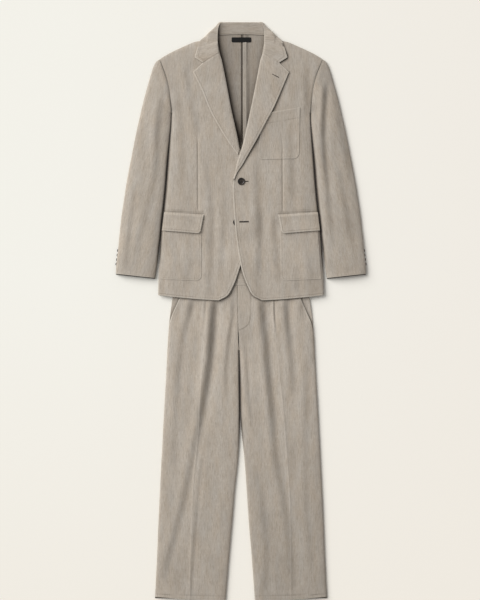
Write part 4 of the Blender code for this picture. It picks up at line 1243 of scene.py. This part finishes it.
@dataclass
class Collar(Maker):
    """The collar fall, folded round the neck, and the stand inside it."""

    neck_y: float = 775.5

    def section(self, row: Array, shares: Array) -> Array:
        """Points across the fall: over the roll, round the bend, and on to the outer edge."""
        roll, bend, edge = row[0:3], row[3:6], row[6:9]
        turn = bend + (edge - bend) * 0.16
        turn[2] = edge[2] + (bend[2] - edge[2]) * 0.12
        return curve_at(np.stack([roll, bend, turn, edge]), np.interp(shares, (0, 0.36, 0.65, 1), (0, 1, 2, 3)))

    def build_fall(self) -> None:
        """Makes the fall from one gorge, round the back of the neck, to the other."""
        half = with_corner(COLLAR_ROWS, 1)
        whole = np.concatenate([half, (half * ((-1, 1, 1) * 3))[-2::-1]])
        end = len(whole) - 1.0
        places = set(np.linspace(0, end, 230).tolist()) | {0.02, 0.05, 0.1, end - 0.02, end - 0.05, end - 0.1}
        places = np.array(sorted(places))
        table = curve_at(whole, places)
        shares = np.concatenate([np.linspace(0, 0.9, 44), (0.915, 0.935, 0.955, 0.972, 0.986, 0.994, 1.0)])
        points = np.stack([self.section(row, shares) for row in table])
        x, y, z = points[..., 0], points[..., 1], points[..., 2]
        from_gorge = np.minimum(places, end - places)[:, None] + 0 * x
        on_top = fade(3, 6.4, from_gorge)
        inside = smooth(-3, 20, np.interp(np.abs(x), SHOULDER[:, 0], SHOULDER[:, 1]) - y)
        gorge = distance_to([(61, 722), (106.5, 694.6)], np.abs(x), y)
        left, right = self.heights.front(Side.LEFT), self.heights.front(Side.RIGHT)
        level = np.where(x > 0, left(np.maximum(x, 20), y), right(np.minimum(x, -20), y))
        level = (level + 1.9 + 2.3 * fade(0, 46, gorge)) * inside - 4 * (1 - inside)
        z = z + 1.3 * np.sin(np.pi * np.clip(shares / 0.7, 0, 1))[None, :] * fade(5, 7, from_gorge)
        z = 0.5 * (z + level + np.sqrt((z - level) ** 2 + 1.2)) * on_top + z * (1 - on_top)
        rolled = fade(0, 0.06, shares)[None, :]
        z = z - 1.3 * on_top * rolled**2 - 0.7 * fade(0, 3, gorge) * on_top
        outer_edge = run_through(np.stack([x[:, -1], y[:, -1]], axis=1)[::4], 4)
        added, light = turned_edge(distance_to(outer_edge, x, y))
        top_face = fade(3.5, 5, from_gorge)
        z = np.maximum(z + 0.8 * added * top_face, self.heights.half + 0.05)
        grid = ClothGrid.over(x, y, z)
        # Painted highlight along the outer edge and over the roll.
        grid.turned = np.maximum(light * top_face, 0.55 * rolled + 0 * x)
        grid.grain_x = travelled(table[:, :2])[:, None] + 0 * x + 700
        grid.grain_y = shares[None, :] * 62 + 0 * x
        how = {"slot": "facing_cloth", "wall": 1.2, "held": "folded", "rests_on": ["jacket_front_left"]}
        self.tailor.sew("collar_fall_cloth", grid, **how)
        self.stitch(points, shares, z)

    def stitch(self, points: Array, shares: Array, z: Array) -> None:
        """Topstitches the fall's outer edge where it lies on the fronts."""
        column = int(np.argmin(np.abs(shares - 0.88)))
        for rows in (slice(6, 44), slice(len(z) - 44, len(z) - 6)):
            run, levels = points[rows, column, :2], z[rows, column]
            order = np.argsort(run[:, 1])
            ordered = run[order, 1], levels[order]
            self.needle.sew_along(run, lambda a, b, known=ordered: np.interp(b, *known), 0.65)

    def build_stand(self) -> None:
        """Makes the stand, whose inner face shows at the back of the neck."""
        share, up = np.linspace(-1, 1, 90)[:, None], np.linspace(0, 1, 16)[None, :]
        dip, low_x = 3 * share**2, 66 * share
        x = low_x + (61.5 * share - low_x) * up
        y = (self.neck_y - 1 - dip) * (1 - up) + (807 - 0.4 * dip) * up
        low_z = self.heights.jacket_under(low_x, 770 + 0 * low_x) + self.heights.step_up
        z = low_z * (1 - up) + 6.4 * up + 0.5 * np.sin(np.pi * up)
        grid = ClothGrid.over(x, y, z)
        # Painted highlight along the stand's lower edge; painted shade all over, deepest on the wearer's right, where
        # the fall's roll casts its shadow.
        grid.turned = 0.6 * fade(0, 0.09, up) + 0 * x
        grid.deep = 0.12 + 0.85 * np.exp(-np.abs(x + 63) / 11)
        grid.grain_x, grid.grain_y = y + 300, x
        self.tailor.sew("collar_stand_cloth", grid, slot="facing_cloth", rests_on=["jacket_back_left"])
        run = np.stack([x[:, 2], y[:, 2]], axis=1)
        self.needle.sew_along(run, lambda a, b: np.interp(a, x[:, 2], z[:, 2]))

    def build(self) -> None:
        """Makes the whole collar."""
        self.build_stand()
        self.build_fall()


@dataclass
class Patch:
    """A flat applied piece given by its four corners, with rounded lower corners."""

    inner_low: tuple[float, float]
    inner_top: tuple[float, float]
    outer_low: tuple[float, float]
    outer_top: tuple[float, float]
    corner: float
    round_outer: bool = True
    step: float = 2.4
    low_steps: Sequence[float] = (0, 0.15, 0.5, 1.1, 2, 3.2, 4.4, 5.4, 6.4, 7.6, 9)
    side_steps: Sequence[float] = (0, 0.3, 0.9, 1.8, 3, 4.2, 5.2, 6.2, 7.4, 9)

    def plan(self) -> tuple[Array, Array, Array]:
        """The patch's places in plan.

        Returns:
            X, Y, and the height of each row above the lower edge.
        """
        tall = self.inner_top[1] - self.inner_low[1]
        middle = np.arange(9.0 + self.step, tall - 9.5, self.step)
        rise = [*self.low_steps, *middle, *(tall - value for value in self.low_steps)]
        above = np.array(sorted(value for value in rise if value <= tall), float)
        up = above / tall
        short = np.maximum(self.corner - above, 0.0)
        cut = self.corner - np.sqrt(np.maximum(self.corner**2 - short**2, 0.0))
        inner, outer = (
            np.array(low)[:, None] + np.subtract(top, low)[:, None] * up
            for low, top in ((self.inner_low, self.inner_top), (self.outer_low, self.outer_top))
        )
        start, end = inner[0] + cut, outer[0] - cut * self.round_outer
        length, side = (end - start)[:, None], np.array(self.side_steps)
        squeeze = np.minimum(1.0, 0.4 * length / side[-1])
        near, far = side[None, :] * squeeze / length, 1.0 - side[None, ::-1] * squeeze / length
        count = max(int((float(length.max()) - 18.0) / self.step), 2)
        shares = np.concatenate([near, between(near[:, -1:], far[:, :1], count), far], axis=1)
        x = start[:, None] + length * shares
        across = np.clip((x - self.inner_low[0]) / (self.outer_low[0] - self.inner_low[0]), 0.0, 1.0)
        return x, inner[1][:, None] + (outer[1] - inner[1])[:, None] * across, above

    def border(self) -> Array:
        """The run of its sewn or free edges: down the inner side, along the bottom and up a rounded outer side."""
        x, y, _ = self.plan()
        places = np.stack([x, y], axis=-1)
        return np.concatenate([places[::-1, 0], places[0, 1:-1:4], *([places[:, -1]] if self.round_outer else [])])


@dataclass
class Pockets(Maker):
    """The breast pocket, the two hip pockets and their flaps."""

    side_inset: float = 6.5

    def side_x(self, y: float) -> float:
        """Where the body's rounded side lies at a place along Y."""
        return float(np.interp(y, self.heights.side[:, 1], self.heights.side[:, 0]))

    def dress(
        self, name: str, patch: Patch, side: Side, lift: Callable[[Array, Array, Array], Array], grain: float,
        free: Array, bold: float,
    ) -> None:
        """Makes one patch on a front.

        Args:
            name: The name of the solid that it stands for.
            patch: Its cut.
            side: Which front it lies on.
            lift: How far it lies above the front, from X, Y and height above its lower edge.
            grain: A shift of its grain, since it is cut from elsewhere in the cloth.
            free: The run of its turned edges.
            bold: How strongly those edges stand out and take their painted highlight, from 0 to 1.
        """
        x, y, above = patch.plan()
        own = side.value * x
        added, light = turned_edge(distance_to(free, x, y))
        z = self.heights.front(side)(own, y) + lift(x, y, above[:, None] + 0 * x) + bold * added
        grid = ClothGrid.over(own, y, z)
        # Painted highlight on its turned edges; painted shade on the darts that run under it, and, on the left front, a
        # little painted shade all over, as that front has.
        grid.paint_highlight(bold * light)
        grid.mark_darts()
        grid.paint_shade(side.pick(0.04, 0) + 0 * x)
        grid.grain_x = grid.grain_x + grain
        self.tailor.sew(f"{name}_cloth", grid, wall=0.8, rests_on=[f"jacket_front_{side.word}"])

    def build_breast(self) -> None:
        """Makes the breast patch pocket with its turned band."""
        patch = Patch((47, 424), (58, 551), (162.5, 427), (164.6, 570), 15)
        top = np.array([patch.inner_top, patch.outer_top])

        def lift(x: Array, y: Array, above: Array) -> Array:
            from_top = distance_to(top, x, y)
            band = 0.5 * fade(27, 30, from_top) - 0.45 * bell(from_top - 28.5, 1.1)
            return 1.25 + band + 0.8 * fade(0, 14, from_top) * smooth(60, 100, x) * fade(140, 162, x)

        border = patch.border()
        self.dress("breast_pocket", patch, Side.LEFT, lift, 0.4, np.concatenate([border, top[::-1]]), 0.5)
        front = self.heights.front(Side.LEFT)
        band_line = run_through([(62, 523.5), (162, 541)], 2)
        for run in (offset_run(run_through(border[::3], 2.2), 4.6), band_line):
            self.needle.sew_along(run, lambda a, b: front(a, b) + 1.1, 0.5)

    def build_hip(self, side: Side) -> None:
        """Makes one hip pocket and its flap."""
        low, top, inner = 85.0, 258.0, 111.0
        outer = [(self.side_x(y) - self.side_inset, y + drop_by) for y, drop_by in ((low, 5), (top, 4))]
        patch = Patch((inner, low), (110, top), *outer, 15, round_outer=False)

        def lift(x: Array, y: Array, above: Array) -> Array:
            return 1.1 + 0.7 * smooth(4, 50, np.minimum(x - inner, above)) * fade(150, 172, above)

        border, front = patch.border(), self.heights.front(side)
        self.dress(f"hip_pocket_{side.word}", patch, side, lift, 0.55, border, 0.3)
        run = offset_run(run_through(border[::3], 2.2), 4.4)
        self.needle.sew_along(run, lambda a, b: front(a, b) + 1.1, 0.5, side)
        outer = [(self.side_x(226) - 1.6, 226), (self.side_x(277) - 2.2, 278)]
        flap = Patch((114.5, 217.5), (104, 270.5), *outer, 8, round_outer=False, step=2)
        seam, step_up = np.array([flap.inner_top, flap.outer_top]), self.heights.step_up

        def flap_lift(x: Array, y: Array, above: Array) -> Array:
            from_seam = distance_to(seam, x, y)
            hinge = (step_up + 1.6) * smooth(0, 7, from_seam)
            return step_up + hinge + 1.5 * smooth(20, 52, from_seam) + 0.5 * bell(from_seam - 8, 4)

        free = flap.border()
        self.dress(f"pocket_flap_{side.word}", flap, side, flap_lift, 0.73, free, 0.8)
        run = offset_run(run_through(free[::2], 2), 5.2)
        self.needle.sew_along(run, lambda a, b: front(a, b) + flap_lift(np.abs(a), b, b), 0.6, side)
        upper = run_through([(106, 276.5), (self.side_x(283) - 4, 284)], 2)
        self.needle.sew_along(upper, front, 0.55, side)

    def build(self) -> None:
        """Makes every pocket."""
        self.build_breast()
        for side in Side:
            self.build_hip(side)


@dataclass
class Trimmings:
    """Buttons with their threads, worked buttonholes and the neck label."""

    heights: LaidHeights
    wardrobe: Wardrobe
    radius: float = 10.3
    thick: float = 2.6
    thread: float = 0.3

    def dress_solids(self) -> None:
        """Gives the solid cuff buttons and the label their finishes."""
        for name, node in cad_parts.items():
            if "cuff_button" not in name and name != "neck_label":
                continue
            material = self.wardrobe.label if name == "neck_label" else self.wardrobe.horn
            if not node.material_slots:
                node.data.materials.append(material)
            for slot in node.material_slots:
                slot.material = material

    def turned_disc(self, name: str) -> Object:
        """Makes a button's turned disc, before its holes are bored."""
        profile = np.array([
            (0, 0), (0.55, 0), (0.80, 0.03), (0.95, 0.22), (1, 0.48), (0.985, 0.78), (0.92, 0.97), (0.85, 1),
            (0.76, 0.93), (0.66, 0.74), (0.55, 0.64), (0.30, 0.61), (0, 0.60),
        ])
        fine = curve_at(profile * (self.radius, self.thick), np.linspace(0, len(profile) - 1, 49))
        around = np.linspace(0, 2 * math.pi, 73)[:-1]
        reach, level = fine[1:-1, :1], fine[1:-1, 1:]
        rings = np.stack([reach * np.cos(around), reach * np.sin(around), level + 0 * around], axis=-1)
        points = np.vstack([(0, 0, fine[0, 1]), rings.reshape(-1, 3), (0, 0, fine[-1, 1])])
        count, last = len(around), len(points) - 1
        pairs = [(step, (step + 1) % count) for step in range(count)]
        faces: list[tuple[int, ...]] = [(0, 1 + b, 1 + a) for a, b in pairs]
        for start in range(1, last - count, count):
            faces += [(start + a, start + b, start + count + b, start + count + a) for a, b in pairs]
        faces += [(last - count + a, last - count + b, last) for a, b in pairs]
        mesh = bpy.data.meshes.new(name)
        mesh.from_pydata((points * MM).tolist(), [], faces)
        return placed(name, mesh)

    def thread_holes(self) -> Object:
        """Makes the four pins that bore a button's holes."""
        form = bmesh.new()
        for turn in range(4):
            angle = math.pi / 4 + turn * math.pi / 2
            pin = bmesh.ops.create_cone(
                form, cap_ends=True, segments=20, radius1=0.95 * MM, radius2=0.95 * MM, depth=9 * MM
            )
            away = Vector((math.cos(angle), math.sin(angle), 0.0)) * 2.5 * MM
            bmesh.ops.translate(form, verts=pin["verts"], vec=away)
        holes = bpy.data.meshes.new("thread_holes")
        form.to_mesh(holes)
        form.free()
        return placed("thread_holes", holes)

    def front_button(self, node: str, x: float, y: float, base: float) -> None:
        """Makes a turned four-hole button with its thread, lying on a front.

        Args:
            node: The solid that it stands for.
            x: Its middle along X.
            y: Its middle along Y.
            base: The height that its back lies at.
        """
        turned, drill = self.turned_disc(node + "_turned"), self.thread_holes()
        bored = turned.modifiers.new("Thread holes", "BOOLEAN")
        bored.object = drill
        bored.solver = "EXACT"
        shape = bpy.data.meshes.new_from_object(turned.evaluated_get(bpy.context.evaluated_depsgraph_get()))
        for piece in (turned, drill):
            bpy.data.objects.remove(piece, do_unlink=True)
        shape.materials.clear()
        shape.materials.append(self.wardrobe.horn)
        shape.shade_smooth()
        button = placed(node + "_horn", shape)
        button.location = Vector((x, y, base)) * MM
        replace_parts(worn(button, "horn_buttons"), node)
        runs, reach = [], np.linspace(-2.5, 2.5, 11)
        for turn in (0, 1):
            angle = math.pi / 4 + turn * math.pi / 2
            level = base + 0.61 * self.thick - 1.0 + 1.25 * np.cos(reach / 2.5 * math.pi / 2) ** 0.5 + 0.2 * turn
            for bar in (-0.35, 0.35):
                across = x + reach * math.cos(angle) - bar * math.sin(angle)
                up = y + reach * math.sin(angle) + bar * math.cos(angle)
                runs.append(np.stack([across, up, level], axis=1))
        self.tube(node + "_thread", runs)

    def tube(self, name: str, runs: Sequence[Array]) -> None:
        """Makes dark threads of one thickness along runs of points in space."""
        curve = bpy.data.curves.new(name, "CURVE")
        curve.dimensions = "3D"
        curve.bevel_depth = self.thread * MM
        curve.bevel_resolution = 2
        curve.use_fill_caps = True
        for run in runs:
            spline = curve.splines.new("POLY")
            spline.points.add(len(run) - 1)
            for point, place in zip(spline.points, run):
                point.co = (*(place * MM), 1.0)
        curve.materials.append(self.wardrobe.dark_thread)
        worn(placed(name, curve), "horn_buttons")

    def buttonhole(self, name: str, start: Sequence[float], end: Sequence[float], height: Height, lift: float, wide: float) -> None:
        """Makes one worked buttonhole: close stitches round a slit.

        Args:
            name: The piece's name.
            start: One end, in plan.
            end: The other end.
            height: The cloth that it is cut in.
            lift: How far the cloth's face lies above its middle.
            wide: Half the width of the worked edge.
        """
        length = math.dist(start, end)
        ux, uy = (end[0] - start[0]) / length, (end[1] - start[1]) / length
        count, runs = int(length / 0.55), []
        for index in range(count + 1):
            along = length * index / count
            for aside in (-1, 1):
                places = np.linspace(0.15, wide, 4) * aside
                x, y = start[0] + ux * along - uy * places, start[1] + uy * along + ux * places
                z = height(x, y) + lift + 0.32 * np.cos(np.linspace(0, 1.3, 4))
                runs.append(np.stack([x, y, z], axis=1))
        self.tube(name, runs)

    def build(self, lapels: Lapels) -> None:
        """Makes every trimming.

        Args:
            lapels: The lapels, for the buttonhole worked in the left one.
        """
        self.dress_solids()
        left, right = (self.heights.front(side) for side in Side)
        around = np.linspace(0, 2 * math.pi, 25)
        for node, height, x, y in (("button_fastened", left, 0.8, 363.0), ("button_lower", right, -12.0, 249.0)):
            base = float(height(x + 7.0 * np.cos(around), y + 7.0 * np.sin(around)).max()) + 0.95
            self.front_button(node, x, y, base)
        self.buttonhole("buttonhole_upper", (-2.0, 363.0), (20.6, 363.2), left, 0.6, 1.25)
        self.buttonhole("buttonhole_lower", (-4.6, 250.0), (21.6, 250.4), left, 0.6, 2.0)

        def lapel(x: Array, y: Array) -> Array:
            share = np.clip((x - 47.0) / 75.0, 0.0, 1.0)
            return lapels.height(Side.LEFT, x, y, share, np.full(np.shape(x), 80.0))

        self.buttonhole("lapel_buttonhole", (87.5, 662.5), (106.0, 653.0), lapel, 0.8, 0.9)


# ---------------------------------------------------------------- the trousers


@dataclass
class Trousers(Maker):
    """Both legs, front and back, with pleats, pressed creases, fly and slant pockets."""

    body: JacketBody
    facing_tuck: float = 16.0
    fly_stitch: Sequence[tuple[float, float]] = (
        (26.4, 70.0), (26.4, 20.0), (25.6, -18.0), (22.6, -31.0), (15.0, -41.0), (6.0, -47.5), (-5.0, -51.5),
    )

    def levels(self, y: Array) -> tuple[Array, Array]:
        """The fronts and the backs, away from their edges."""
        heights, rise = self.heights, smooth(-20, 25, y)
        return heights.top + heights.over_rise * rise, heights.half + heights.under_rise * rise

    def rows(self, side: Side, layer: Layer) -> Array:
        """A leg's table with its rounded edges stood back."""
        rows, half = LEG_ROWS[side].astype(float), self.heights.half
        rows[:, 2] -= half
        rows[CENTRE_SEAM_ROW:, 0] += half + 0.3
        if layer is Layer.UNDER:
            above = np.arange(CENTRE_SEAM_ROW)
            rows[above, 0] = 0.25 - side.value * 6.7 * smooth(0, CENTRE_SEAM_ROW, above)
            rows[above, 2] = np.interp(rows[above, 3], HIP[::-1, 1], HIP[::-1, 0]) - half
        return rows

    def edge_runs(self, side: Side) -> tuple[Array, Array]:
        """The runs of a leg's outer side and, below the fly, of its inner side."""
        rows = self.rows(side, Layer.OVER)
        outer = run_through(np.vstack([HIP - (self.heights.half, 0), rows[CENTRE_SEAM_ROW:, OUTER]]), 12)
        return outer, run_through(rows[CENTRE_SEAM_ROW + 1 :, INNER], 12)

    def crease_x(self, side: Side, y: Array) -> Array:
        """Where a leg's pressed crease lies."""
        line = CREASES[side][np.argsort(CREASES[side][:, 1])]
        return np.interp(y, line[:, 1], line[:, 0])

    def front_height(self, side: Side) -> Height:
        """The height function of one trouser front."""
        runs, heights = self.edge_runs(side), self.heights

        def height(x: Array, y: Array) -> Array:
            own = x * side.value
            edge = nearest(runs, own, y)
            over, under = self.levels(y)
            full = swell(edge, 34)
            puff = heights.leg_puff * (1 - 0.5 * smooth(-60, 10, y))
            folds = 1.22 * sum(crease.at(x, y) for crease in LEG_FOLDS[side]) * fade(26, 46, y)
            pressed = (1.5 - 0.5 * smooth(-300, -699, y)) * np.exp(-np.abs(own - self.crease_x(side, y)) / 4.2)
            pressed = pressed * fade(-260, -60, y)
            uneven = 0.7 * waver(x, y * 0.4, 60, 21.3) + 0.35 * waver(x, y * 0.3, 20, 27.9)
            level = over - (over - (over + under + heights.rim_gap) / 2) * drop(edge, heights.reach)
            level = level + full * (puff + uneven) + swell(edge, 12) * folds + full * pressed
            if side is Side.LEFT:
                level = level + heights.lap * fade(26, 62, x) * smooth(-84, -50, y)
            return level

        return height

    def build_front(self, side: Side) -> None:
        """Makes one front with its mouth edge, hem and fly."""
        rows = self.rows(side, Layer.OVER)
        x, y, places = RuledPanel(rows, 3.3, ROUNDED, focus=CREASES[side]).plan()
        y = y + 4.2 * smooth(len(rows) - 2.0, len(rows) - 1.0, places)[:, None] * smooth(150, 236, x)
        own, hem = side.value * x, distance_to(rows[-1].reshape(2, 2), x, y)
        added, light = turned_edge(distance_to(rows[:CENTRE_SEAM_ROW, OUTER], x, y))
        sides = np.minimum(np.abs(x - x[:, :1]), np.abs(x - x[:, -1:]))
        z = self.front_height(side)(own, y) + added - 0.45 * bell(hem - 12, 1.6) + 0.4 * fade(10.5, 13.5, hem)
        z = z + 0.5 * fade(0, 30, hem) * smooth(2, 20, sides) - 0.4 * fade(0, 1.4, hem)
        grid = ClothGrid.over(own, y, z)
        from_crease, from_inner = np.abs(x - self.crease_x(side, y)), x - x[:, :1]
        # Painted highlight on the pocket mouth's turned edge, along the hem and on the pressed crease; on the left
        # front also along the inner edge, which faces the light.
        grid.paint_highlight(light)
        grid.paint_highlight(0.9 * fade(0.4, 3.2, hem))
        grid.paint_highlight(side.pick(0.10, 0.26) * fade(0.4, 3, from_crease) * fade(-200, -40, y))
        if side is Side.LEFT:
            grid.paint_highlight(0.8 * fade(0.4, 3, from_inner) * smooth(-70, -55, y))
            grid.paint_highlight(0.55 * fade(0.6, 3.6, from_inner) * fade(-80, -60, y))
        grid.deep = self.shade_front(side, x, y, hem)
        grid.grain_x = grid.grain_x + 1.7
        self.tailor.sew(f"trouser_front_{side.word}_cloth", grid, rests_on=[f"trouser_back_{side.word}"])
        self.stitch(side, rows)

    def shade_front(self, side: Side, x: Array, y: Array, hem: Array) -> Array:
        """Where a front carries painted shade: between the legs, in its folds, towards the hem, close under the jacket,
        in the fly's lap and along its stitched lines.

        Args:
            side: Which front.
            x: Places along X, positive towards its own side.
            y: Places along Y.
            hem: Millimetres from the hem.

        Returns:
            The painted shade, from 0 to 1.
        """
        from_inner = distance_to(self.edge_runs(side)[1], x, y)
        # Painted shade in the gap between the legs.
        shade = 1.1 * bell(from_inner, 1.2 + 2.4 * smooth(70, 210, -y)) * fade(-90, -60, y) * smooth(-420, -300, y)
        # Painted shade on the hem's stitch line; both legs darker towards the hem, where the light falls off, the left
        # one more.
        shade = shade + 0.30 * bell(hem - 12, 0.9) + side.pick(0.03, 0) + side.pick(0.20, 0.12) * smooth(150, 800, -y)
        shade = shade + fold_shade(LEG_FOLDS[side], side.value * x, y) * fade(26, 46, y)
        if side is Side.LEFT:
            # Painted shade along the fly stitching.
            shade = shade + 0.42 * bell(distance_to(run_through(self.fly_stitch, 2), x, y), 1.1)
        else:
            # Painted shadow beside the edge of the left front's fly lap.
            shade = shade + 0.6 * bell(distance_to([(9.6, 72.5), (8.4, 20.0), (7.6, -64.0)], x, y), 2)
        return np.clip(np.maximum(shade, self.jacket_shadow(side.value * x, y)), 0, 1)

    def jacket_shadow(self, x: Array, y: Array) -> Array:
        """How dark the trousers are close under the jacket's hem and front edges."""
        left, right = (distance_to(self.body.front_edge(side), side.value * x, y) for side in Side)
        return 0.65 * bell(left, 3.6) + 0.5 * bell(right, 5) * (x < 6)

    def stitch(self, side: Side, rows: Array) -> None:
        """Stitches the hem, the pocket mouth and, on the left front, the fly."""
        hem = run_through(rows[-1].reshape(2, 2) + ((3, 12), (-4, 12)), 3)
        runs = [hem, run_through(rows[:CENTRE_SEAM_ROW, OUTER] - (6, 0), 3)]
        if side is Side.LEFT:
            runs.append(run_through(self.fly_stitch, 2))
        for run in runs:
            self.needle.sew_along(run, self.front_height(side), 0.55, side)

    def build_back(self, side: Side) -> None:
        """Makes one back, lying on the floor, its hem a little longer than the front's."""
        heights = self.heights
        x, y, _ = RuledPanel(self.rows(side, Layer.UNDER), 7, ROUNDED).plan()
        over, under = self.levels(y)
        rim = (over + under - heights.rim_gap) / 2
        z = under + (rim - under) * drop(nearest(self.edge_runs(side), x, y), heights.reach)
        grid = ClothGrid.over(side.value * x, y, z)
        # Painted shade on the back's hem, where it shows below the front's.
        grid.deep = 0.75 * fade(-800, -770, y)
        self.tailor.sew(f"trouser_back_{side.word}_cloth", grid)

    def build_facing(self, side: Side) -> None:
        """Makes the facing that shows in a slant pocket's mouth."""
        heights, mouth = self.heights, LEG_ROWS[side][: len(HIP), OUTER]
        hip_x, mouth_y = HIP[: len(mouth), 0] - heights.half, mouth[:, 1]
        rows = np.column_stack([mouth[:, 0] - self.facing_tuck, mouth_y, hip_x, mouth_y])
        x, y, _ = RuledPanel(rows, 2.6, (0, 0.6, 1.5), ROUNDED[:7]).plan()
        over, under = self.levels(y)
        rim, level = (over + under + heights.rim_gap) / 2, over - heights.step_up
        z = level - (level - rim) * drop(distance_to(self.edge_runs(side)[0], x, y), heights.reach)
        grid = ClothGrid.over(side.value * x, y, z)
        # Painted shade deep in the pocket mouth.
        grid.deep = 0.5 * fade(14, 24, x - x[:, :1])
        grid.grain_x = grid.grain_x + 2.3
        nodes = [f"trouser_pocket_facing_{side.word}"]
        self.tailor.sew(f"pocket_facing_{side.word}_cloth", grid, nodes, rests_on=[f"trouser_back_{side.word}"])

    def build_waistband(self) -> None:
        """Makes the waistband as one strip round the waist."""
        over, under = (float(level) for level in self.levels(np.array(120.0)))
        lap, puff = self.heights.lap, self.heights.leg_puff * 0.5
        middle, tall, wide = (over + under) / 2, (over - under) / 2, 4.0
        turns = [math.pi * step / 12 for step in range(13)]
        table = np.array([
            *((x, over + puff + lap * fade(26, 62, x), 0) for x in np.arange(-9.0, 64.0, 3.0)),
            *((x, over + puff * fade(90, 178, x), 0) for x in np.arange(66.0, 178.0, 6.0)),
            *((wide * math.sin(turn), middle + tall * math.cos(turn), 1) for turn in turns),
            *((x, under, 0) for x in np.arange(174.0, -175.0, -12.0)),
            *((-wide * math.sin(turn), middle - tall * math.cos(turn), -1) for turn in turns),
            *((x, over + puff * fade(90, 178, -x), 0) for x in np.arange(-174.0, 12.0, 6.0)),
        ], float)
        y = np.array([73.0, 73.3, 74.0, 75.2, 78.0, 86.0, 94.0, 102.0, 110.0, 117.0, 120.6, 121.7, 122.1])[:, None]
        side = np.interp(y, (73.0, 98.0, 122.0), (187.0, 185.0, 183.0)) - 0.6 - wide
        x = table[None, :, 0] + side * table[None, :, 2]
        z = table[None, :, 1] + 0 * y - 0.4 * fade(73, 75, y)
        grid = ClothGrid.over(x, y + 0 * x, z)
        # Painted highlight along both long edges, and painted shadow from the jacket.
        grid.turned = 0.7 * fade(0.2, 2.4, np.minimum(y - 73.0, 122.1 - y)) + 0 * x
        grid.deep = self.jacket_shadow(grid.x, grid.y)
        grid.grain_x, grid.grain_y = grid.y, x.copy()
        self.tailor.sew("waistband_cloth", grid, held="folded", flat=(0.775, 0.05))

    def build(self) -> None:
        """Makes the whole pair of trousers."""
        for side in Side:
            self.build_back(side)
            self.build_facing(side)
            self.build_front(side)
        self.build_waistband()


# ---------------------------------------------------------------- the studio


@dataclass
class Studio:
    """A pale board, a broad soft light from the upper left, and a camera straight above."""

    view_height: float = 1.680
    centre: tuple[float, float] = (-0.0028, 0.0316)
    lens: float = 120.0
    air: float = 0.38
    window: float = 3.06
    light_from: tuple[float, float, float] = (-0.68, 0.44, 0.60)

    def floor(self) -> None:
        """Lays the board."""
        mesh = bpy.data.meshes.new("board")
        form = bmesh.new()
        bmesh.ops.create_grid(form, x_segments=24, y_segments=24, size=16.0)
        form.to_mesh(mesh)
        form.free()
        mesh.materials.append(PaleFloor("pale_board").build())
        board = placed("board", mesh)
        board.location = (0.0, 0.0, -0.0004)

    def light(self) -> None:
        """Hangs the one broad light, far off to the upper left and low enough to rake the cloth."""
        data = bpy.data.lights.new("window", "SUN")
        data.energy = self.window
        data.angle = math.radians(46.0)
        data.color = (1.0, 0.995, 0.98)
        lamp = placed("window", data)
        lamp.rotation_mode = "QUATERNION"
        lamp.rotation_quaternion = (-Vector(self.light_from)).to_track_quat("-Z", "Y")

    def camera(self) -> None:
        """Sets the camera straight above, with a long lens."""
        data = bpy.data.cameras.new("overhead")
        data.lens = self.lens
        data.sensor_width = 36.0
        data.clip_end = 50.0
        camera = placed("overhead", data)
        camera.location = (*self.centre, self.view_height / 2 / (data.sensor_width / 2 / self.lens))
        bpy.context.scene.camera = camera

    def build(self) -> None:
        """Sets up the board, lights, air and camera."""
        scene = bpy.context.scene
        scene.view_settings.view_transform = "Standard"
        world = bpy.data.worlds.new("soft_air")
        world.use_nodes = True
        sky = world.node_tree.nodes["Background"]
        sky.inputs["Color"].default_value = (1.0, 0.995, 0.985, 1.0)
        sky.inputs["Strength"].default_value = self.air
        scene.world = world
        self.floor()
        self.light()
        self.camera()


def main() -> None:
    """Builds the studio and dresses the suit, piece by piece."""
    logging.basicConfig(level=logging.INFO, format="%(name)s: %(message)s")
    Studio().build()
    heights, wardrobe = LaidHeights(), Wardrobe()
    tailor, jacket_needle, trouser_needle = Tailor(wardrobe), Needle(), Needle()
    jacket = (heights, tailor, jacket_needle)
    body, lapels = JacketBody(*jacket), Lapels(*jacket)
    for maker in (body, Sleeves(*jacket), lapels, Collar(*jacket), Pockets(*jacket)):
        maker.build()
    Trimmings(heights, wardrobe).build(lapels)
    Trousers(heights, tailor, trouser_needle, body).build()
    jacket_needle.finish("jacket_stitching", wardrobe.thread)
    trouser_needle.finish("trouser_stitching", wardrobe.thread)


if __name__ == "__main__":
    main()
